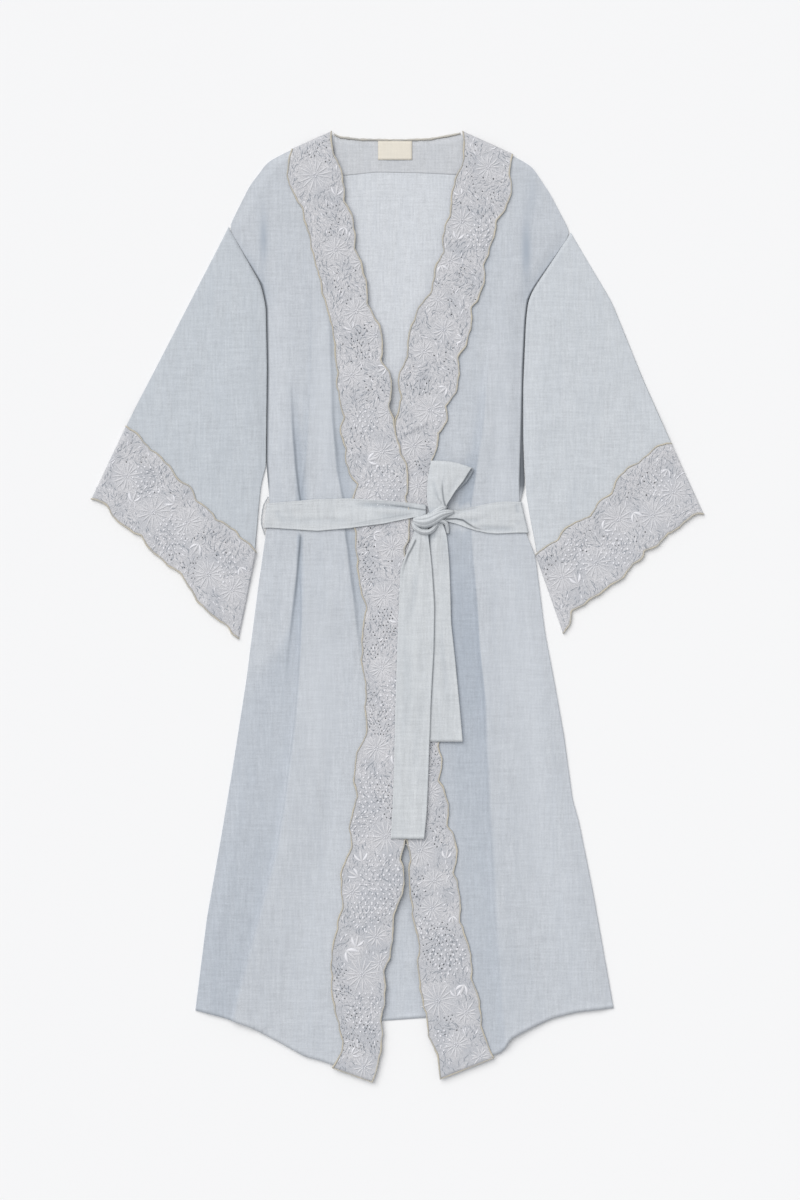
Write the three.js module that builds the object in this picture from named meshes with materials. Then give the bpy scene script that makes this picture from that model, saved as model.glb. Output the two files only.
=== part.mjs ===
// A lace kimono laid flat on its back, fronts up, with its belt tied in a one-loop bow.
// Millimetres. -X is the wearer's right, +Y runs to the neck, +Z is up, the floor is z = 0.
// The origin is under the middle of the garment. Every piece of cloth is a thin wall.
import * as THREE from "three";
import { mergeVertices } from "three/addons/utils/BufferGeometryUtils.js";

// Driving dimensions
const CLOTH = 1.2; // wall of the linen, the lace and the belt
const TRIM = 1.0; // wall of the facing and the label
const SEAM = 0.3; // space left between pieces at a seam
const LAYER = CLOTH + 0.45; // rise from one stacked layer to the next
const FRONT_REST = CLOTH + SEAM; // lowest underside of a front, on the back panel
const LACE_LAP = 10; // linen that runs in under the lace's edge
const BELT_Y = 114; // middle of the belt round the waist
const BELT_HALF = 20; // half its height there
const BELT_LIFT = CLOTH + 0.6; // how far the belt under the back lifts the cloth
const BELT_STANDOFF = 3.6; // how far the belt reaches out past the side edges
const BELT_RAMP = 42; // length over which that lift fades
const FRONT_LOFT = 2.2; // how far the fronts stand off the back, away from the sides
const LOFT_REACH = 20; // distance from a side in which the loft builds up
const SLEEVE_LOFT = 2.6; // inner space of a sleeve at its fullest
const SLEEVE_EDGE = 0.4; // inner space of a sleeve at its folded edges
const CUFF_REACH = 0.12; // share of a cuff's lace that laps over the sleeve
const BINDING_WIDTH = 3.6;
const BINDING_TOP = 3;
const LOOP_RADIUS = 3; // half the height of the bow's loop
const THREAD_RADIUS = 0.8;

// Outer line of the right front: shoulder, armhole seam, side down to the hem
const RIGHT_SIDE = [
  { x: -123, y: 580 },
  { x: -149, y: 567.5 },
  { x: -164.5, y: 559 },
  { x: -173.5, y: 546 },
  { x: -186, y: 530 },
  { x: -212.5, y: 477 },
  { x: -170.5, y: 405 },
  { x: -164.5, y: 377.5 },
  { x: -163, y: 300 },
  { x: -164.5, y: 183 },
  { x: -161, y: 133 },
  { x: -165, y: 95 },
  { x: -174.5, y: 31 },
  { x: -190.5, y: -94 },
  { x: -207.5, y: -203.5 },
  { x: -224, y: -302 },
  { x: -240, y: -392.5 },
  { x: -247, y: -449 },
  { x: -254.5, y: -508.5 },
];

// Outer line of the left front
const LEFT_SIDE = [
  { x: 133, y: 574 },
  { x: 154.5, y: 562.5 },
  { x: 169.5, y: 554 },
  { x: 179.5, y: 538.5 },
  { x: 192, y: 520 },
  { x: 218, y: 470 },
  { x: 170, y: 400 },
  { x: 157, y: 391 },
  { x: 155.5, y: 361 },
  { x: 155, y: 244 },
  { x: 154.5, y: 176 },
  { x: 153, y: 129 },
  { x: 161.5, y: 93 },
  { x: 173.5, y: 64 },
  { x: 185.5, y: -32 },
  { x: 197.5, y: -95 },
  { x: 209.5, y: -162 },
  { x: 220.5, y: -244 },
  { x: 228, y: -269 },
  { x: 246, y: -358.5 },
  { x: 262, y: -449 },
  { x: 272, y: -505.5 },
];

// Armhole ends of the sleeves, from the top of the armhole to the underarm
const RIGHT_ARMHOLE = [
  { x: -213.5, y: 475.5 },
  { x: -171.7, y: 404 },
  { x: -165.8, y: 377.5 },
  { x: -164.4, y: 300 },
  { x: -166, y: 176 },
];
const LEFT_ARMHOLE = [
  { x: 219, y: 468.5 },
  { x: 171.2, y: 399 },
  { x: 165, y: 386 },
  { x: 162, y: 361 },
  { x: 158.5, y: 276.5 },
  { x: 158.5, y: 210 },
  { x: 162.5, y: 139 },
];

// Outer and inner long edges of the sleeves, from the armhole to the cuff
const RIGHT_SLEEVE_OUTER = [
  { x: -213.5, y: 475.5 },
  { x: -322.5, y: 260 },
  { x: -343, y: 217.5 },
];
const RIGHT_SLEEVE_INNER = [
  { x: -166, y: 176 },
  { x: -172.5, y: 152 },
  { x: -176, y: 124 },
  { x: -183, y: 58 },
];
const LEFT_SLEEVE_OUTER = [
  { x: 219, y: 468.5 },
  { x: 268.5, y: 385 },
  { x: 305.5, y: 290.5 },
  { x: 346, y: 195.5 },
];
const LEFT_SLEEVE_INNER = [
  { x: 162.5, y: 139 },
  { x: 168.5, y: 110 },
  { x: 181, y: 56 },
];

// Scalloped lace edges, a row for each scallop: where it starts, and how far it swells out
const RIGHT_LACE_OUTER = [
  { x: -133, y: 576, swell: 11 },
  { x: -121, y: 503.5, swell: 0.5 },
  { x: -79, y: 336, swell: 2 },
  { x: -75.5, y: 295.5, swell: 4 },
  { x: -67, y: 239, swell: 6 },
  { x: -65, y: 198.5, swell: 5.5 },
  { x: -51, y: 153, swell: 5.5 },
  { x: -52.5, y: 90, swell: 4 },
  { x: -39.5, y: -4.5, swell: 5.5 },
  { x: -40.5, y: -99, swell: 0.5 },
  { x: -39.5, y: -162, swell: 9.5 },
  { x: -50.5, y: -239, swell: 5.5 },
  { x: -57.5, y: -302, swell: 8 },
  { x: -68.5, y: -376, swell: 15.5 },
  { x: -68.5, y: -546, swell: -2.5 },
  { x: -82.5, y: -580, swell: 0 },
];
const RIGHT_LACE_INNER = [
  { x: -82.5, y: 598.5, swell: -1.5 },
  { x: -80, y: 571.5, swell: 4 },
  { x: -66, y: 509.5, swell: 5.5 },
  { x: -53.5, y: 449, swell: 5.5 },
  { x: -38, y: 380, swell: 8.5 },
  { x: -20, y: 309.5, swell: 8 },
  { x: -10.5, y: 254, swell: 0.5 },
  { x: 5, y: 191, swell: 6.5 },
  { x: 10, y: 138, swell: 6.5 },
  { x: 9, y: 71, swell: 5 },
  { x: 5.5, y: -4.5, swell: 6 },
  { x: 5.5, y: -80, swell: 6 },
  { x: 5.5, y: -155.5, swell: 6 },
  { x: 5.5, y: -231, swell: 6 },
  { x: 4.5, y: -319.5, swell: 8.5 },
  { x: -5, y: -385, swell: 4.5 },
  { x: -16, y: -458, swell: 2.5 },
  { x: -20, y: -521, swell: 5 },
  { x: -31.5, y: -598.5, swell: 0 },
];
const LEFT_LACE_INNER = [
  { x: 81.5, y: 598.5, swell: -2.5 },
  { x: 80, y: 555, swell: 4 },
  { x: 65.5, y: 489.5, swell: 4.5 },
  { x: 57.5, y: 446.5, swell: 3.5 },
  { x: 42.5, y: 396, swell: 9.5 },
  { x: 12.5, y: 314.5, swell: 7 },
  { x: 4.5, y: 262.5, swell: 4 },
  { x: -3, y: 191, swell: 5 },
  { x: -0.5, y: 109, swell: 5 },
  { x: 3, y: 21, swell: 5 },
  { x: 5.5, y: -67.5, swell: 5 },
  { x: 8, y: -155.5, swell: 5 },
  { x: 10.5, y: -244, swell: 4 },
  { x: 15, y: -307, swell: 5 },
  { x: 27, y: -424, swell: 5 },
  { x: 36, y: -512, swell: 4.5 },
  { x: 50, y: -561.5, swell: 0.5 },
  { x: 53.5, y: -594.5, swell: 0 },
];
const LEFT_LACE_OUTER = [
  { x: 145.5, y: 569.5, swell: -1 },
  { x: 142, y: 543.5, swell: 8 },
  { x: 124.5, y: 484.5, swell: 2.5 },
  { x: 108.5, y: 429, swell: 7.5 },
  { x: 92.5, y: 376, swell: 7.5 },
  { x: 76, y: 314.5, swell: 8 },
  { x: 61.5, y: 251.5, swell: 6.5 },
  { x: 50, y: 217.5, swell: 4.5 },
  { x: 43, y: 184.5, swell: 4 },
  { x: 48.5, y: 128, swell: 5 },
  { x: 53.5, y: 58.5, swell: 5 },
  { x: 55, y: -17, swell: 5 },
  { x: 53.5, y: -92.5, swell: 5 },
  { x: 51.5, y: -174.5, swell: 3.5 },
  { x: 53, y: -218.5, swell: 5 },
  { x: 63.5, y: -275.5, swell: 8 },
  { x: 70.5, y: -336, swell: 5 },
  { x: 78, y: -397.5, swell: 5.5 },
  { x: 93, y: -464.5, swell: 2.5 },
  { x: 105.5, y: -518.5, swell: -2.5 },
  { x: 121.5, y: -567.5, swell: 0 },
];

// Cuff lace edges across the sleeve, from its outer edge to its inner edge
const RIGHT_CUFF_UPPER = [
  { x: -342, y: 227, swell: 2.5 },
  { x: -310.5, y: 197, swell: 3.5 },
  { x: -274, y: 157, swell: 5 },
  { x: -252.5, y: 131.5, swell: 4 },
  { x: -228.5, y: 107.5, swell: 5 },
  { x: -198.5, y: 86.5, swell: 2 },
  { x: -178, y: 68, swell: 0 },
];
const RIGHT_CUFF_LOWER = [
  { x: -385.5, y: 135.5, swell: -2.5 },
  { x: -365, y: 125.5, swell: 5 },
  { x: -323, y: 89.5, swell: 5 },
  { x: -271.5, y: 42, swell: 7.5 },
  { x: -212, y: -26, swell: 1 },
  { x: -200, y: -40, swell: 0 },
];
const LEFT_CUFF_UPPER = [
  { x: 345, y: 205, swell: 4 },
  { x: 319.5, y: 194, swell: 1.5 },
  { x: 302, y: 180, swell: 6.5 },
  { x: 269, y: 142, swell: 3.5 },
  { x: 242.5, y: 113, swell: 5.5 },
  { x: 199.5, y: 82.5, swell: 1.5 },
  { x: 174, y: 65, swell: 0 },
];
const LEFT_CUFF_LOWER = [
  { x: 385.5, y: 116.5, swell: -1 },
  { x: 371, y: 115.5, swell: 3 },
  { x: 339.5, y: 92.5, swell: 4.5 },
  { x: 310.5, y: 70, swell: 4 },
  { x: 296.5, y: 56, swell: 5 },
  { x: 266.5, y: 27, swell: 2.5 },
  { x: 217.5, y: -5.5, swell: 4 },
  { x: 208.5, y: -33.5, swell: 0 },
];

// Hems, from the wearer's right to the left
const RIGHT_HEM = [
  { x: -254.5, y: -508.5 },
  { x: -220, y: -517 },
  { x: -184.5, y: -530 },
  { x: -150.5, y: -547.5 },
  { x: -116.5, y: -566.5 },
  { x: -96.5, y: -571.5 },
  { x: -72.5, y: -580 },
];
const LEFT_HEM = [
  { x: 111.5, y: -567.5 },
  { x: 131.5, y: -561.5 },
  { x: 143, y: -543.5 },
  { x: 169.5, y: -530 },
  { x: 194.5, y: -518.5 },
  { x: 223.5, y: -511 },
  { x: 272, y: -505.5 },
];
const BACK_HEM = [
  { x: -254.5, y: -508.5 },
  { x: -150, y: -519 },
  { x: -21, y: -522 },
  { x: 35, y: -518 },
  { x: 160, y: -516 },
  { x: 272, y: -505.5 },
];

// Back neckline, and the lower edge of the facing inside it
const NECKLINE = [
  { x: -82.5, y: 598 },
  { x: -72.5, y: 593 },
  { x: -47.5, y: 590 },
  { x: 3, y: 589 },
  { x: 41, y: 590.5 },
  { x: 66, y: 595 },
  { x: 81, y: 598 },
];
const FACING_HEM = [
  { x: -78, y: 541 },
  { x: -27, y: 547 },
  { x: 28, y: 546 },
  { x: 76, y: 544 },
];

// Folds of the fronts: each runs down through its rows, rise is its height there. It drops
// steeply on one side (drop: 1 towards +X, -1 towards -X) and slopes gently on the other.
const FOLDS = [
  {
    name: "crevice ridge above the waist",
    drop: -1,
    steep: 14,
    gentle: 46,
    rows: [
      { x: -88, y: 330, rise: 0 },
      { x: -106, y: 242, rise: 2.6 },
      { x: -119, y: 150, rise: 1.8 },
      { x: -121, y: 128, rise: 0 },
    ],
  },
  {
    name: "side ridge above the waist",
    drop: 1,
    steep: 14,
    gentle: 26,
    rows: [
      { x: -139, y: 320, rise: 0 },
      { x: -136, y: 242, rise: 2.2 },
      { x: -125, y: 150, rise: 1.4 },
      { x: -122, y: 128, rise: 0 },
    ],
  },
  {
    name: "fold beside the right lace",
    drop: 1,
    steep: 24,
    gentle: 30,
    rows: [
      { x: -84, y: 348, rise: 0 },
      { x: -84, y: 222, rise: 1.8 },
      { x: -80, y: 185, rise: 1.8 },
      { x: -72, y: 132, rise: 0.4 },
    ],
  },
  {
    name: "fold of the left front above the waist",
    drop: -1,
    steep: 14,
    gentle: 34,
    rows: [
      { x: 119, y: 340, rise: 0 },
      { x: 113, y: 270, rise: 2.8 },
      { x: 97, y: 150, rise: 2.6 },
      { x: 93, y: 128, rise: 0.6 },
    ],
  },
  {
    name: "long fold of the right skirt",
    drop: -1,
    steep: 15,
    gentle: 64,
    rows: [
      { x: -120, y: 92, rise: 0.4 },
      { x: -121, y: -42, rise: 4 },
      { x: -125, y: -118, rise: 4.6 },
      { x: -140, y: -250, rise: 4.6 },
      { x: -167, y: -370, rise: 4.2 },
      { x: -204, y: -508, rise: 2.6 },
      { x: -210, y: -530, rise: 2.2 },
    ],
  },
  {
    name: "fold below the waist beside the right lace",
    drop: 1,
    steep: 20,
    gentle: 36,
    rows: [
      { x: -67, y: 96, rise: 0.6 },
      { x: -62, y: 58, rise: 2 },
      { x: -55, y: 8, rise: 1.8 },
      { x: -47, y: -67, rise: 0 },
    ],
  },
  {
    name: "long fold of the left skirt",
    drop: -1,
    steep: 16,
    gentle: 70,
    rows: [
      { x: 92.5, y: 96, rise: 0.6 },
      { x: 96, y: 46, rise: 3 },
      { x: 111, y: -118, rise: 4.4 },
      { x: 118, y: -244, rise: 4.2 },
      { x: 126.5, y: -395, rise: 3.6 },
      { x: 131.5, y: -496, rise: 3 },
      { x: 140, y: -560, rise: 2.4 },
    ],
  },
];

// Belt halves, from the knot out to the side. Layer counts what lies under the belt there.
const BELT_RIGHT = [
  { x: 36, top: 127.5, bottom: 114.5, layer: 3 },
  { x: 22, top: 129.5, bottom: 112.5, layer: 3 },
  { x: -18, top: 133.5, bottom: 104, layer: 3 },
  { x: -42, top: 134.5, bottom: 101, layer: 2.15 },
  { x: -60, top: 136, bottom: 98.5, layer: 2 },
  { x: -78, top: 135.5, bottom: 97, layer: 1 },
  { x: -101, top: 135, bottom: 95, layer: 1 },
  { x: -130, top: 132.5, bottom: 97, layer: 1 },
  { x: -159, top: 130, bottom: 99, layer: 1 },
];
const BELT_LEFT = [
  { x: 50, top: 120.5, bottom: 109, layer: 2 },
  { x: 61, top: 120.5, bottom: 109, layer: 2 },
  { x: 76, top: 121, bottom: 106, layer: 1 },
  { x: 99, top: 125.5, bottom: 99.5, layer: 1 },
  { x: 125, top: 131, bottom: 93, layer: 1 },
  { x: 151, top: 130, bottom: 93, layer: 1 },
];

// Belt ends that hang down from the knot, a row for each cross-section
const TAIL_LONG = [
  { y: 108, left: 26, right: 37 },
  { y: 91, left: 20, right: 38.5 },
  { y: 70, left: 12, right: 41 },
  { y: 46, left: 3.5, right: 43.5 },
  { y: 0, left: 1.5, right: 46.5 },
  { y: -55, left: -0.5, right: 45.5 },
  { y: -118, left: -2.5, right: 42 },
  { y: -206, left: -4.5, right: 39 },
  { y: -256, left: -6.5, right: 37 },
  { y: -292, left: -8.5, right: 33.5 },
];
const TAIL_SHORT = [
  { y: 106, left: 44, right: 56 },
  { y: 90, left: 38, right: 62 },
  { y: 58, left: 24, right: 65 },
  { y: 20, left: 22.5, right: 66.5 },
  { y: -20, left: 23.5, right: 67.5 },
  { y: -67, left: 28.5, right: 72.5 },
  { y: -118, left: 33.5, right: 77.5 },
  { y: -170, left: 41, right: 82 },
];

// The bow's loop, a row for each cross-section from the knot to its tip
const LOOP = [
  { left: [37.5, 124.5], right: [60, 126], layer: 3 },
  { left: [36.8, 139], right: [70, 142], layer: 2.5 },
  { left: [37.5, 160], right: [83, 158], layer: 2.1 },
  { left: [42, 183], right: [94, 174], layer: 2 },
];

const KNOT = { x: 43.5, y: 107, length: 57, width: 25, height: 10, turn: 0.36, layer: 4.1 };
const LABEL = { left: -24.5, right: 18.5, top: 584.5, bottom: 562.5 };

// The thread carrier at the right side seam passes outside the belt
const THREAD_LOOP = [
  { x: -162.8, y: 138 },
  { x: -168.8, y: 127 },
  { x: -171, y: 113 },
  { x: -171.2, y: 103 },
  { x: -167, y: 90.5 },
];

const COLOURS = {
  linen: { color: 0xc4cad2, roughness: 0.9 },
  lace: { color: 0xc6c9d0, roughness: 0.8 },
  belt: { color: 0xcdd1d4, roughness: 0.9 },
  binding: { color: 0xc3b79c, roughness: 0.85 },
  label: { color: 0xe6dfd2, roughness: 0.7 },
};

// Numbers along curves
const clamp = (t) => Math.min(1, Math.max(0, t));
const smooth = (t) => clamp(t) ** 2 * (3 - 2 * clamp(t));
const lerp = (a, b, t) => a + (b - a) * t;
const mix = (p, q, t) => p.map((value, i) => lerp(value, q[i], t));

// Heights at which the cloth starts and ends its rise over the belt below it
const BELT_MARKS = [1, -1].flatMap((way) =>
  [0, 0.5, 1].map((share) => BELT_Y + way * (BELT_HALF + share * BELT_RAMP)),
);

// The value of one column of a table at a place along another, whose values fall or rise
function column(rows, along, name, place) {
  const falls = rows[0][along] > rows.at(-1)[along] ? -1 : 1;
  const next = rows.findIndex((row) => falls * row[along] >= falls * place);
  if (next === 0) return rows[0][name];
  if (next < 0) return rows.at(-1)[name];
  const a = rows[next - 1];
  const b = rows[next];
  return lerp(a[name], b[name], (place - a[along]) / (b[along] - a[along]));
}

// A curve through a table's points, read by its share of the length. Its knots are the
// shares of the points. A swell bows the stretch after its row to the given side.
function curve(rows, side = 0) {
  const knots = [0];
  for (let i = 1; i < rows.length; i++) {
    const step = Math.hypot(rows[i].x - rows[i - 1].x, rows[i].y - rows[i - 1].y);
    knots.push(knots[i - 1] + step);
  }
  const whole = knots.at(-1);
  const shares = knots.map((k) => k / whole);
  const at = (u) => {
    const next = Math.max(1, shares.findIndex((k) => k >= u - 1e-9));
    const a = rows[next - 1];
    const b = rows[next];
    const t = clamp((u - shares[next - 1]) / (shares[next] - shares[next - 1]));
    const bow = (side * (a.swell ?? 0) * 4 * t * (1 - t)) / Math.hypot(b.x - a.x, b.y - a.y);
    return [lerp(a.x, b.x, t) + bow * (b.y - a.y), lerp(a.y, b.y, t) - bow * (b.x - a.x)];
  };
  return { at, knots: shares, length: whole };
}

const moved = (rows, dx, dy = 0) => rows.map((row) => ({ ...row, x: row.x + dx, y: row.y + dy }));
const straight = (p, q) => curve([{ x: p[0], y: p[1] }, { x: q[0], y: q[1] }]);

// The share at which a curve that only falls passes a height
function shareAt(line, y) {
  let [low, high] = [0, 1];
  for (let i = 0; i < 30; i++) {
    const middle = (low + high) / 2;
    if (line.at(middle)[1] > y) low = middle;
    else high = middle;
  }
  return low;
}

// Shares for a grid's rows: every knot of the curves, the given heights, and steps between
function stations(curves, step, heights = []) {
  const marks = heights.map((y) => shareAt(curves[0], y));
  const knots = [...marks, ...curves.flatMap((c) => c.knots)].sort((a, b) => a - b);
  const apart = (step / curves[0].length) * 0.3;
  const kept = [0];
  for (const k of knots) if (k - kept.at(-1) > apart && k < 1 - apart) kept.push(k);
  kept.push(1);
  const shares = [0];
  for (let i = 1; i < kept.length; i++) {
    const parts = Math.ceil(((kept[i] - kept[i - 1]) * curves[0].length) / step - 0.01);
    for (let n = 1; n <= parts; n++) shares.push(lerp(kept[i - 1], kept[i], n / parts));
  }
  return shares;
}

const even = (parts) => Array.from({ length: parts + 1 }, (_, i) => i / parts);

// A grid of plan points inside four edges: from and to run down, start and end run across
function patch({ from, to, start, end }, rows, columns) {
  const corners = [start.at(0), start.at(1), end.at(0), end.at(1)];
  return rows.map((u) =>
    columns.map((v) => {
      const across = mix(from.at(u), to.at(u), v);
      const down = mix(start.at(v), end.at(v), u);
      const plain = mix(mix(corners[0], corners[1], v), mix(corners[2], corners[3], v), u);
      return [across[0] + down[0] - plain[0], across[1] + down[1] - plain[1]];
    }),
  );
}

// A closed mesh from points and faces, turned so that its faces point out
function closed(points, faces) {
  const index = faces.flat();
  let volume = 0;
  for (let i = 0; i < index.length; i += 3) {
    const [a, b, c] = [0, 1, 2].map((k) => new THREE.Vector3(...points[index[i + k]]));
    volume += a.dot(b.cross(c));
  }
  if (volume < 0) index.reverse();
  const geometry = new THREE.BufferGeometry();
  geometry.setAttribute("position", new THREE.Float32BufferAttribute(points.flat(), 3));
  geometry.setIndex(index);
  return geometry;
}

const quad = (a, b, c, d) => [a, b, c, a, c, d];

// A wall between two grids of points of the same shape
function wall(upper, lower) {
  const rows = upper.length;
  const columns = upper[0].length;
  const points = [...upper.flat(), ...lower.flat()];
  const up = (i, j) => i * columns + j;
  const low = (i, j) => rows * columns + i * columns + j;
  const faces = [];
  for (let i = 0; i + 1 < rows; i++) {
    for (let j = 0; j + 1 < columns; j++) {
      faces.push(quad(up(i, j), up(i + 1, j), up(i + 1, j + 1), up(i, j + 1)));
      faces.push(quad(low(i, j), low(i, j + 1), low(i + 1, j + 1), low(i + 1, j)));
    }
    const last = columns - 1;
    faces.push(quad(up(i, 0), low(i, 0), low(i + 1, 0), up(i + 1, 0)));
    faces.push(quad(up(i, last), up(i + 1, last), low(i + 1, last), low(i, last)));
  }
  for (let j = 0; j + 1 < columns; j++) {
    const last = rows - 1;
    faces.push(quad(up(0, j), up(0, j + 1), low(0, j + 1), low(0, j)));
    faces.push(quad(up(last, j), low(last, j), low(last, j + 1), up(last, j + 1)));
  }
  return closed(points, faces);
}

// Cloth over a plan grid, with its underside at the height that bottom gives
function sheet(grid, bottom, thick = CLOTH) {
  const raised = (more) => grid.map((row, i) => row.map(([x, y], j) => [x, y, bottom(x, y, i, j) + more]));
  return wall(raised(thick), raised(0));
}

// A wall under a grid of points, as thick as given along the surface's normals
function shell(grid, thick) {
  const pick = (i, j) => new THREE.Vector3(...grid[i][j]);
  const under = grid.map((row, i) =>
    row.map((point, j) => {
      const along = pick(Math.min(i + 1, grid.length - 1), j).sub(pick(Math.max(i - 1, 0), j));
      const across = pick(i, Math.min(j + 1, row.length - 1)).sub(pick(i, Math.max(j - 1, 0)));
      const normal = along.cross(across).normalize();
      return point.map((value, k) => value - normal.getComponent(k) * thick);
    }),
  );
  return wall(grid, under);
}

// An open tube from outer and inner rings of points
function tube(outer, inner) {
  const rings = outer.length;
  const around = outer[0].length;
  const points = [...outer.flat(), ...inner.flat()];
  const out = (i, k) => i * around + (k % around);
  const into = (i, k) => rings * around + i * around + (k % around);
  const faces = [];
  for (let k = 0; k < around; k++) {
    for (let i = 0; i + 1 < rings; i++) {
      faces.push(quad(out(i, k), out(i + 1, k), out(i + 1, k + 1), out(i, k + 1)));
      faces.push(quad(into(i, k), into(i, k + 1), into(i + 1, k + 1), into(i + 1, k)));
    }
    const last = rings - 1;
    faces.push(quad(out(0, k), out(0, k + 1), into(0, k + 1), into(0, k)));
    faces.push(quad(out(last, k), into(last, k), into(last, k + 1), out(last, k + 1)));
  }
  return closed(points, faces);
}

// A flattened tube over a plan grid. Its rings run over the grid's rows and back under
// them, with the folded edges rounded. space is the height of the hollow inside.
function flatTube(grid, bottom, space) {
  const ring = (row, i, inset) => {
    const last = row.length - 1;
    const edge = new THREE.Vector2(row[last][0] - row[0][0], row[last][1] - row[0][1]).normalize();
    const nudge = (j, far) => {
      const shift = (j === 0 ? far : 0) - (j === last ? far : 0);
      return [row[j][0] + edge.x * shift, row[j][1] + edge.y * shift];
    };
    const low = bottom(i) + inset;
    const top = (j) => bottom(i) + 2 * CLOTH + space(i, j) - inset;
    const over = row.map((_, j) => [...nudge(j, CLOTH / 2 + inset), top(j)]);
    const under = row.map((_, j) => [...nudge(j, CLOTH / 2 + inset), low]).reverse();
    const fold = (j) => [...nudge(j, inset), (low + top(j)) / 2];
    return [...over, fold(last), ...under, fold(0)];
  };
  return tube(grid.map((row, i) => ring(row, i, 0)), grid.map((row, i) => ring(row, i, CLOTH)));
}

// Heights of the stacked cloth
const beltLift = (y) => BELT_LIFT * smooth(1 - (Math.abs(y - BELT_Y) - BELT_HALF) / BELT_RAMP);

function foldHeight(fold, x, y) {
  const { rows, drop, steep, gentle } = fold;
  if (y > rows[0].y || y < rows.at(-1).y) return 0;
  const off = drop * (x - column(rows, "y", "x", y));
  const share = off > 0 ? off / steep : -off / gentle;
  return column(rows, "y", "rise", y) * smooth(1 - share);
}

function loft(x, y) {
  const right = x - column(RIGHT_SIDE, "y", "x", y);
  const left = column(LEFT_SIDE, "y", "x", y) - x;
  const shoulder = (RIGHT_SIDE[0].y + LOFT_REACH - y) / 2;
  return FRONT_LOFT * smooth(Math.min(right, left, shoulder) / LOFT_REACH);
}

// Underside of the fronts, and of the layers that lie on them
function frontBottom(x, y) {
  const folds = FOLDS.reduce((sum, fold) => sum + foldHeight(fold, x, y), 0);
  const press = 1 - 0.7 * smooth(1 - (Math.abs(y - BELT_Y) - BELT_HALF) / (BELT_RAMP * 2));
  return FRONT_REST + beltLift(y) + press * (loft(x, y) + folds);
}
const layerBottom = (layer, x, y) => frontBottom(x, y) + layer * LAYER;

// Panels
function front(side, hem, laceOuter, toCentre) {
  const inner = moved(laceOuter, toCentre * LACE_LAP);
  const lines = toCentre > 0 ? [curve(side), curve(inner)] : [curve(inner), curve(side)];
  const [from, to] = lines;
  const start = straight(from.at(0), to.at(0));
  const rows = stations([curve(side)], 38, BELT_MARKS);
  const columns = even(12);
  return sheet(patch({ from, to, start, end: curve(hem) }, rows, columns), frontBottom);
}

function backPanel() {
  const under = SEAM * 4;
  const neck = moved(NECKLINE, 0, -BINDING_WIDTH - SEAM);
  const armhole = LEFT_ARMHOLE.slice(1, -1).map(({ x, y }) => ({ x: x - under, y }));
  const above = LEFT_SIDE.filter(({ y }) => y > armhole[0].y);
  const below = LEFT_SIDE.filter(({ y }) => y < BELT_Y + BELT_HALF);
  const from = curve([neck[0], ...RIGHT_SIDE]);
  const to = curve([neck.at(-1), ...above, ...armhole, ...below]);
  const start = curve(neck);
  const end = curve(BACK_HEM);
  const rows = stations([from, to], 60, BELT_MARKS);
  const grid = patch({ from, to, start, end }, rows, stations([start], 20));
  return sheet(grid, (x, y) => beltLift(y));
}

// Lace bands down the fronts
function laceBand(outer, inner, toCentre, layer) {
  const lines = [curve(outer, toCentre), curve(inner, -toCentre)];
  const [from, to] = toCentre > 0 ? lines : [lines[1], lines[0]];
  const start = straight(from.at(0), to.at(0));
  const end = straight(from.at(1), to.at(1));
  const grid = patch({ from, to, start, end }, stations(lines, 22), even(4));
  return sheet(grid, (x, y, i, j) => layerBottom(layer(y, j / 4), x, y));
}

// The right front's lace climbs onto the left front's lace where they cross
function climb(y, across) {
  const crossed = Math.min(smooth((330 - y) / 60), smooth((y + 420) / 60));
  return 1 + crossed * clamp((across - 0.25) / 0.4);
}

// Sleeves and cuffs
function sleeve(armhole, outer, inner, cuffUpper, cuffLower) {
  const [upper, lower] = [curve(cuffUpper), curve(cuffLower)];
  const ends = [curve(outer).at(1), curve(inner).at(1)];
  const middle = (u) => mix(upper.at(u), lower.at(u), CUFF_REACH);
  const end = { at: (u) => (u === 0 ? ends[0] : u === 1 ? ends[1] : middle(u)) };
  const [from, to] = [curve(outer), curve(inner)];
  const start = curve(armhole);
  const rows = [0, 0.06, 0.16, 0.28, 0.4, 0.52, 0.64, 0.74, 0.84, 0.92, 1];
  const columns = stations([start], 40);
  const grid = patch({ from, to, start, end }, rows, columns);
  const tight = (i) => smooth((rows[i] - 0.7) / 0.2);
  const fullness = (i) => smooth(rows[i] / 0.2) * (1 - 0.96 * tight(i));
  const space = (i, j) => {
    const swell = Math.sin(Math.PI * columns[j]) ** 0.7;
    return SLEEVE_EDGE + SLEEVE_LOFT * fullness(i) * swell;
  };
  return flatTube(grid, (i) => LAYER * tight(i), space);
}

function cuffLace(upperRows, lowerRows, side) {
  const [upper, lower] = [curve(upperRows, side), curve(lowerRows, -side)];
  const rows = [0, CUFF_REACH, 0.35, 1];
  const spaces = [3.8, 3.8, 2.2, 1.4];
  const from = straight(upper.at(0), lower.at(0));
  const to = straight(upper.at(1), lower.at(1));
  const columns = stations([upper, lower], 20);
  const grid = patch({ from, to, start: upper, end: lower }, rows, columns);
  return flatTube(grid, () => 0, (i) => spaces[i]);
}

// Neck
function neckFacing() {
  const start = curve(moved(NECKLINE.slice(1, -1), 0, -BINDING_WIDTH - SEAM));
  const end = curve(FACING_HEM);
  const from = straight(start.at(0), end.at(0));
  const to = straight(start.at(1), end.at(1));
  const grid = patch({ from, to, start, end }, even(2), stations([start], 20));
  return sheet(grid, () => CLOTH + SEAM, TRIM);
}

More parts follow.
